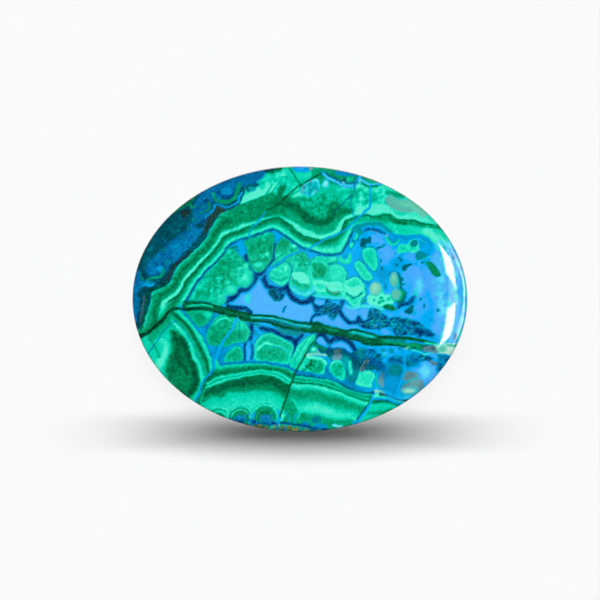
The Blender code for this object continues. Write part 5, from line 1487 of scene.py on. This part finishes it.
slab.vein(GREEN, 0, (0.5, 0.22), [
    (-18.8, -4.35), (-17.2, -3.6), (-16, -2.6), (-15, -1.4), (-14.6, -1.05), (-14.2, -1), (-12.5, -1.15)])
print("strands and slivers of the crack:", len(CRACK_MARKS))

# %% Contact lines and thin veins
VEINS = [
    # mineral, tone, width, route
    (BLUE, 0.16, 0.2, UPPER_CONTACT[:36]), (TEAL, 0.62, 0.4, UPPER_CONTACT[35:42]),
    (BLUE, 0.55, 0.4, beside(UPPER_CONTACT[41:48], -0.3)),
    (BLUE, 0.42, 0.2, FAN_CONTACT), (BLUE, 0.4, 0.26, ARCH_CONTACT), (TEAL, 0.36, 0.22, RIGHT_CONTACT),
    (BLUE, 0.46, 0.3, [(-0.5, -8.3), (1.5, -8.45), (4.4, -9.2), (5.6, -9.7), (7, -10.2)]),
    (BLUE, 0.58, 0.22, [(7.9, 12.9), (7.85, 12), (7.9, 11.2), (7.8, 10.6), (7.3, 10.1), (6.9, 9.6),
        (6.5, 9.3), (5.6, 8.4), (4.5, 7.7), (3.9, 7.3), (2.6, 6.85), (1, 5.8), (0.3, 5.65), (-0.5, 5.4),
        (-1.5, 4.9), (-2.3, 4.3), (-3.7, 3.4), (-4.7, 2.3)]),
    (TEAL, 0.3, 0.1, [(6, 12.9), (6, 12.2), (5.4, 11.6), (4, 10.3), (3.7, 9.9)]),
    (TEAL, 0.62, 0.14, [(5.9, 12), (5.5, 11.4), (5.6, 10.8), (6.3, 9)]),
    (GREEN, 0.05, 0.14, [(2.2, 14.3), (0.2, 13.1), (-0.7, 12.6), (-2.7, 10.8), (-4, 10.1)]),
    (BLUE, 0.55, 0.16, [(-4, 10), (-5, 8.75), (-5.5, 8.2), (-5.8, 7.6), (-5.9, 7.1)]),
    (GREEN, 0.12, 0.12, [(-1.3, 15), (-0.9, 14.4), (-0.6, 13.9), (0, 13.1)]),
    (TEAL, 0.55, 0.15, [(-14.1, -2.4), (-14.6, -2.6), (-15.7, -3.7), (-16, -4.2), (-17.4, -6.2)]),
    (BLUE, 0.66, 0.26, [(-7.2, -2.1), (-8, -3.6), (-9, -5), (-9.6, -6.6)]),
    (TEAL, 0.42, 0.12, [(-7.1, -2.5), (-7, -3.2), (-7, -4), (-6.9, -4.6)]),
    (GREEN, 0.92, 0.18, [(-9.7, -2.7), (-9.2, -2.2), (-8.5, -2.1), (-7.9, -2.4)]),
    (BLUE, 0.55, 0.18, [(-5, -3.6), (-5.5, -4.6), (-5.9, -5.4)]),
    (BLUE, 0.56, 0.25, [(-9.9, -6), (-9.9, -7.6), (-10.2, -8.2), (-10.8, -8.9), (-11.3, -9.7),
        (-11.5, -10.6), (-12, -11.6)]),
    (BLUE, 0.7, 0.2, [(11.7, -5.8), (11.7, -6.8), (11.8, -7.9), (11.3, -9.3), (10.9, -10.5)]),
    (GREEN, 0.34, 0.2, [(8, -10.9), (7.6, -11.8), (7, -12.7), (6.4, -13.5)]),
    (BLUE, 0.66, (0.16, 0.5), [(8.1, -10.9), (7.9, -11.6), (6.6, -13.6), (6, -14.1)]),
    (TEAL, 0.12, 0.1, [(7.4, -12.1), (6.9, -12.8), (6.4, -13.6)]),
    (GREEN, 0.05, 0.18, [(0.6, -6), (0.3, -6.7), (-0.4, -7.8), (-1.8, -11.4), (-2.3, -13.2)]),
    (BLUE, 0.06, 0.16, [(-1.7, -0.7), (-1.9, -1), (-2, -1.4)]),
]
for mineral, tone, width, route in VEINS:
    slab.vein(mineral, tone, width, route)
print("thin veins:", len(VEINS))

# %% [markdown]
# ## Colour of the minerals

# %% Palettes
PALETTES = {
    BLUE: [
        (0.0, (3, 32, 82)), (0.15, (3, 52, 112)), (0.3, (4, 84, 142)), (0.42, (4, 115, 170)),
        (0.55, (2, 152, 208)), (0.66, (1, 174, 244)), (0.75, (12, 178, 254)), (0.85, (76, 172, 255)),
        (0.9, (78, 182, 254)), (0.95, (66, 208, 253)), (1.0, (110, 228, 255))],
    GREEN: [
        (0.0, (1, 48, 36)), (0.15, (2, 84, 56)), (0.3, (2, 116, 74)), (0.45, (3, 150, 99)),
        (0.6, (4, 178, 132)), (0.72, (4, 203, 165)), (0.82, (10, 221, 186)), (0.92, (42, 236, 200)),
        (1.0, (92, 243, 212))],
    TEAL: [
        (0.0, (3, 30, 38)), (0.2, (1, 60, 75)), (0.4, (2, 92, 109)), (0.55, (5, 125, 140)),
        (0.7, (4, 170, 175)), (0.82, (12, 210, 212)), (0.92, (55, 225, 240)), (1.0, (150, 245, 240))],
    GREY: [
        (0.0, (40, 82, 92)), (0.35, (65, 115, 127)), (0.6, (100, 162, 175)), (0.8, (85, 200, 172)),
        (0.9, (122, 218, 190)), (1.0, (185, 228, 212))],
    EARTH: [
        (0.0, (20, 38, 40)), (0.3, (30, 70, 70)), (0.55, (54, 107, 69)), (0.8, (114, 120, 56)),
        (1.0, (215, 190, 100))],
}
print("palettes:", ", ".join(PALETTES))

# %% The polished stone
for name, layer in slab.layers.items():
    carried = stone.data.attributes.new(name, "FLOAT", "POINT")
    carried.data.foreach_set("value", layer.astype(np.float32))
for name, layer in (("along", slab.along), ("across", slab.across)):
    carried = stone.data.attributes.new(name, "FLOAT", "POINT")
    carried.data.foreach_set("value", layer.astype(np.float32))


def linear(colour):
    """A screen colour, 0 to 255, as the linear colour that Blender works in."""
    result = []
    for value in colour:
        share = value / 255
        result.append(share / 12.92 if share <= 0.04045 else ((share + 0.055) / 1.055) ** 2.4)
    return result + [1.0]


polish.use_nodes = True
skin = polish.node_tree
skin.nodes.clear()


def carried_value(name):
    return Wire.node(skin, "ShaderNodeAttribute", {"attribute_name": name}, None, "Fac")


def noise(vector, scale, detail=2.0):
    """Noise about zero, its scale in grains per millimetre."""
    values = {"Vector": vector, "Scale": scale, "Detail": detail}
    return Wire.node(skin, "ShaderNodeTexNoise", None, values, "Fac") - 0.5


def mix_colour(factor, first, second):
    values = {"Factor_Float": factor, "A_Color": first, "B_Color": second}
    return Wire.node(skin, "ShaderNodeMix", {"data_type": "RGBA"}, values, "Result_Color")


def step_between(value, low, high):
    """From 0 to 1 as a value goes from low to high, with soft ends."""
    settings = {"interpolation_type": "SMOOTHSTEP"}
    values = {"Value": value, "From Min": low, "From Max": high}
    return Wire.node(skin, "ShaderNodeMapRange", settings, values, "Result")


object_place = Wire.node(skin, "ShaderNodeTexCoord", None, None, "Object")
in_mm = Wire.node(skin, "ShaderNodeVectorMath", {"operation": "SCALE"}, {
    0: object_place,
    "Scale": MM,
}, "Vector")
fibre_place = Wire.node(skin, "ShaderNodeCombineXYZ", None, {
    "X": carried_value("along") * 6.5,
    "Y": carried_value("across") * 1.6,
})
grain = noise(in_mm, 6.5)
mottle = noise(in_mm, 1.7, 3.0)
blotch = step_between(noise(in_mm, 2.6, 3.0), -0.07, 0.07) - 0.5
speck = step_between(noise(in_mm, 8.5, 1.0), 0.12, 0.2)
fibre = noise(fibre_place, 1.0)
tone = carried_value("tone")
malachite = carried_value(GREEN)
rough_gel = (0.62 - tone).at_least(0.0)
calm = (1.3 - tone).at_most(1.0)
gel_grain = grain * (0.16 + rough_gel * 1.1) + mottle * (0.1 + rough_gel * 0.6)
gel_tone = tone + 0.02 + gel_grain + speck * rough_gel * 0.9
green_tone = tone + 0.04 + (grain * 0.4 + mottle * 0.2 + blotch * 0.09 + fibre * 0.26) * calm

ramps = {}
for mineral, stops in PALETTES.items():
    shade = green_tone if mineral == GREEN else gel_tone
    ramps[mineral] = Wire.node(skin, "ShaderNodeValToRGB", {
        "stops": [(place, linear(colour)) for place, colour in stops],
    }, {"Fac": shade}, "Color")
colour = ramps[BLUE]
for mineral in MINERALS:
    share = step_between(carried_value(mineral) + grain * 0.3, 0.25, 0.75)
    colour = mix_colour(share, colour, ramps[mineral])

gloss = 0.075 + mottle * 0.04 + malachite * 0.015
height = grain * 0.3 + fibre * malachite * 0.4
bump = Wire.node(skin, "ShaderNodeBump", None, {
    "Strength": 0.25,
    "Distance": 0.00002,
    "Height": height,
}, "Normal")
surface = Wire.node(skin, "ShaderNodeBsdfPrincipled", None, {
    "Base Color": colour,
    "Roughness": gloss,
    "IOR": 1.57,
    "Normal": bump,
})
output = skin.nodes.new("ShaderNodeOutputMaterial")
skin.links.new(surface.socket, output.inputs["Surface"])
print("nodes in the stone's material:", len(skin.nodes))

# %% Put the stone in the frame
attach(stone, "root")
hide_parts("stone")

# %% [markdown]
# ## Floor, light and camera

# %% The floor
FLOOR_HALF = 1.5
PAPER = 0.9  # the share of light that the floor gives back
floor_mesh = bpy.data.meshes.new("floor")
floor_mesh.from_pydata(
    [
        (-FLOOR_HALF, -FLOOR_HALF, 0), (FLOOR_HALF, -FLOOR_HALF, 0), (FLOOR_HALF, FLOOR_HALF, 0),
        (-FLOOR_HALF, FLOOR_HALF, 0)],
    [], [(0, 1, 2, 3)])
floor = bpy.data.objects.new("floor", floor_mesh)
bpy.context.scene.collection.objects.link(floor)
paper = bpy.data.materials.new("white_paper")
paper.use_nodes = True
paper_shader = paper.node_tree.nodes["Principled BSDF"]
paper_shader.inputs["Base Color"].default_value = (PAPER, PAPER, PAPER, 1)
paper_shader.inputs["Roughness"].default_value = 1.0
paper_shader.inputs["Specular IOR Level"].default_value = 0.0
floor_mesh.materials.append(paper)
floor.visible_glossy = False
floor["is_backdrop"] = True

# %% Lights
scene = bpy.context.scene


def lit_only(name, member):
    """A collection to which lights can be tied, so that they light only its member."""
    group = bpy.data.collections.new(name)
    group.objects.link(member)
    return group


floor_only = lit_only("lit_floor", floor)
stone_only = lit_only("lit_stone", stone)


def turn_towards(obj, direction):
    obj.rotation_euler = direction.to_track_quat("-Z", "Y").to_euler()


def add_sun(name, strength, azimuth, elevation, spread, receivers):
    """A soft sun; azimuth is counter-clockwise from +X, both angles in degrees."""
    lamp = bpy.data.lights.new(name, "SUN")
    lamp.energy = strength
    lamp.angle = math.radians(spread)
    sun = bpy.data.objects.new(name, lamp)
    scene.collection.objects.link(sun)
    flat = math.cos(math.radians(elevation))
    towards = Vector((
        -flat * math.cos(math.radians(azimuth)),
        -flat * math.sin(math.radians(azimuth)),
        -math.sin(math.radians(elevation)),
    ))
    turn_towards(sun, towards)
    sun.light_linking.receiver_collection = receivers
    if receivers is stone_only:
        sun.light_linking.blocker_collection = stone_only
    sun.visible_glossy = False
    return sun


FLOOR_RADIANCE = 0.956
FLOOR_SUNS = [  # azimuth, elevation, spread, share
    (90, 89.9, 8.4, 0.92), (90, 48, 30, 0.04), (60, 50, 30, 0.02), (120, 50, 30, 0.02),
]
for number, (azimuth, elevation, spread, share) in enumerate(FLOOR_SUNS):
    irradiance = share * FLOOR_RADIANCE * math.pi / PAPER
    strength = irradiance / math.sin(math.radians(elevation))
    add_sun(f"floor_sun_{number}", strength, azimuth, elevation, spread, floor_only)
add_sun("stone_sun_top", 1.05, 90, 89.9, 30, stone_only)
for number in range(6):
    add_sun(f"stone_sun_{number}", 1.18, 60 * number + 15, 18, 20, stone_only)

# A narrow card held above the floor, out of the camera's sight, shades it along the stone's near edge.
# It is widest in the middle and thins along a bell curve, so the shade fades out to both sides.
CARD_HEIGHT = 0.030
CARD_MIDDLE = -15.23
CARD_HALF = 1.75
CARD_REACH = 16.5
CARD_FALL = 2.6
CARD_END = 28
CARD_STEPS = 28
card_side = []
for step in range(-CARD_STEPS, CARD_STEPS + 1):
    x = CARD_END * step / CARD_STEPS
    card_side.append((x, CARD_HALF * math.exp(-abs(x / CARD_REACH) ** CARD_FALL)))
card_ring = [(x, CARD_MIDDLE + half) for x, half in card_side]
card_ring += [(x, CARD_MIDDLE - half) for x, half in card_side[::-1]]
card_mesh = bpy.data.meshes.new("shade_card")
card_mesh.from_pydata([
    (x / MM, y / MM, CARD_HEIGHT) for x, y in card_ring], [], [list(range(len(card_ring)))])
card = bpy.data.objects.new("shade_card", card_mesh)
scene.collection.objects.link(card)
card.visible_camera = False
card.visible_diffuse = False
card.visible_glossy = False
card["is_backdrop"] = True

# The pale floor close round the stone, as the steep rim mirrors it: a border that only reflections see.
BORDER = 0.8
BORDER_SHIFT = 0.5  # away from the shadow, where the floor is dark
BORDER_HEIGHT = 0.00002
BORDER_STEPS = 96
BORDER_GLOW = 0.6
border_ring = []
for step in range(BORDER_STEPS):
    turn = 2 * math.pi * step / BORDER_STEPS
    x = (HALF_LENGTH + BORDER / MM) * math.cos(turn)
    y = (HALF_WIDTH + BORDER / MM) * math.sin(turn) + BORDER_SHIFT / MM
    border_ring.append((x, y, BORDER_HEIGHT))
border_mesh = bpy.data.meshes.new("floor_border")
border_mesh.from_pydata(border_ring, [], [list(range(BORDER_STEPS))])
lit_paper = bpy.data.materials.new("lit_paper")
lit_paper.use_nodes = True
lit_shader = lit_paper.node_tree.nodes["Principled BSDF"]
lit_shader.inputs["Base Color"].default_value = (0, 0, 0, 1)
lit_shader.inputs["Specular IOR Level"].default_value = 0.0
lit_shader.inputs["Emission Color"].default_value = (1, 1, 1, 1)
lit_shader.inputs["Emission Strength"].default_value = BORDER_GLOW
border_mesh.materials.append(lit_paper)
border = bpy.data.objects.new("floor_border", border_mesh)
scene.collection.objects.link(border)
border.visible_camera = False
border.visible_diffuse = False
border.visible_shadow = False
border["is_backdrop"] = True


def direction(azimuth, polar):
    """A unit vector; azimuth is counter-clockwise from +X and polar is from straight up, in degrees."""
    flat = math.sin(math.radians(polar))
    turn = math.radians(azimuth)
    return Vector((flat * math.cos(turn), flat * math.sin(turn), math.cos(math.radians(polar))))


def add_bar(name, start, end, width, radiance):
    """A strip light from one direction to another, turned towards the stone, to show as a bright bar."""
    first, last = (BAR_DISTANCE * direction(*end_of_bar) for end_of_bar in (start, end))
    lamp = bpy.data.lights.new(name, "AREA")
    lamp.shape = "RECTANGLE"
    lamp.size = (last - first).length
    lamp.size_y = width
    lamp.energy = radiance * math.pi * lamp.size * width
    bar = bpy.data.objects.new(name, lamp)
    scene.collection.objects.link(bar)
    middle = (first + last) / 2
    long_way = (last - first).normalized()
    facing = middle.normalized()
    side = facing.cross(long_way).normalized()
    facing = long_way.cross(side)
    bar.matrix_world = Matrix((long_way, side, facing)).transposed().to_4x4()
    bar.location = middle
    bar.light_linking.receiver_collection = stone_only
    bar.light_linking.blocker_collection = stone_only
    bar.visible_camera = False
    bar.visible_diffuse = False
    return bar


BAR_DISTANCE = 0.5
add_bar("bar_north", (26.5, 70), (10.6, 58.5), 0.12, 19.0)
add_bar("bar_south", (-3.7, 56), (-23.5, 62.5), 0.12, 19.0)
add_bar("glow_north", (32, 92), (12, 76), 0.14, 1.8)
add_bar("glow_south", (-2, 70), (-26, 82), 0.14, 1.8)
add_bar("glow_between", (10, 61), (-3, 60), 0.16, 3.2)
add_bar("edge_north", (9.8, 98), (22, 114), 0.22, 5.0)
add_bar("edge_south", (-4, 92), (-20, 108), 0.22, 5.0)

# %% The pale surroundings, seen only by the camera
world = bpy.data.worlds.new("pale_studio")
scene.world = world
world.use_nodes = True
sky = world.node_tree
sky.nodes.clear()
seen = Wire.node(sky, "ShaderNodeLightPath", None, None, "Is Camera Ray")
glow = Wire.node(sky, "ShaderNodeBackground", None, {"Color": (FLOOR_RADIANCE,) * 3 + (1,), "Strength": seen})
world_output = sky.nodes.new("ShaderNodeOutputWorld")
sky.links.new(glow.socket, world_output.inputs["Surface"])

# %% The camera
LENS = 135.0
SENSOR = 36.0
AIM = (0.007, -0.113)  # millimetres from the middle of the stone
camera_data = bpy.data.cameras.new("camera")
camera_data.lens = LENS
camera_data.sensor_width = SENSOR
camera_data.clip_start = 0.01
camera = bpy.data.objects.new("camera", camera_data)
scene.collection.objects.link(camera)
camera_height = GIRDLE_TOP + EYE_DISTANCE / MM
camera.location = (AIM[0] / MM, AIM[1] / MM, camera_height)
scene.camera = camera
scene.view_settings.view_transform = "Standard"
scene.cycles.diffuse_bounces = 0  # the stone throws no green light on the floor
print("camera height, mm:", round(camera_height * MM, 1))

# %% Finish
size = {"cad": [list(corner) for corner in cad_bounds], "visual": [list(corner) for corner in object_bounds()]}
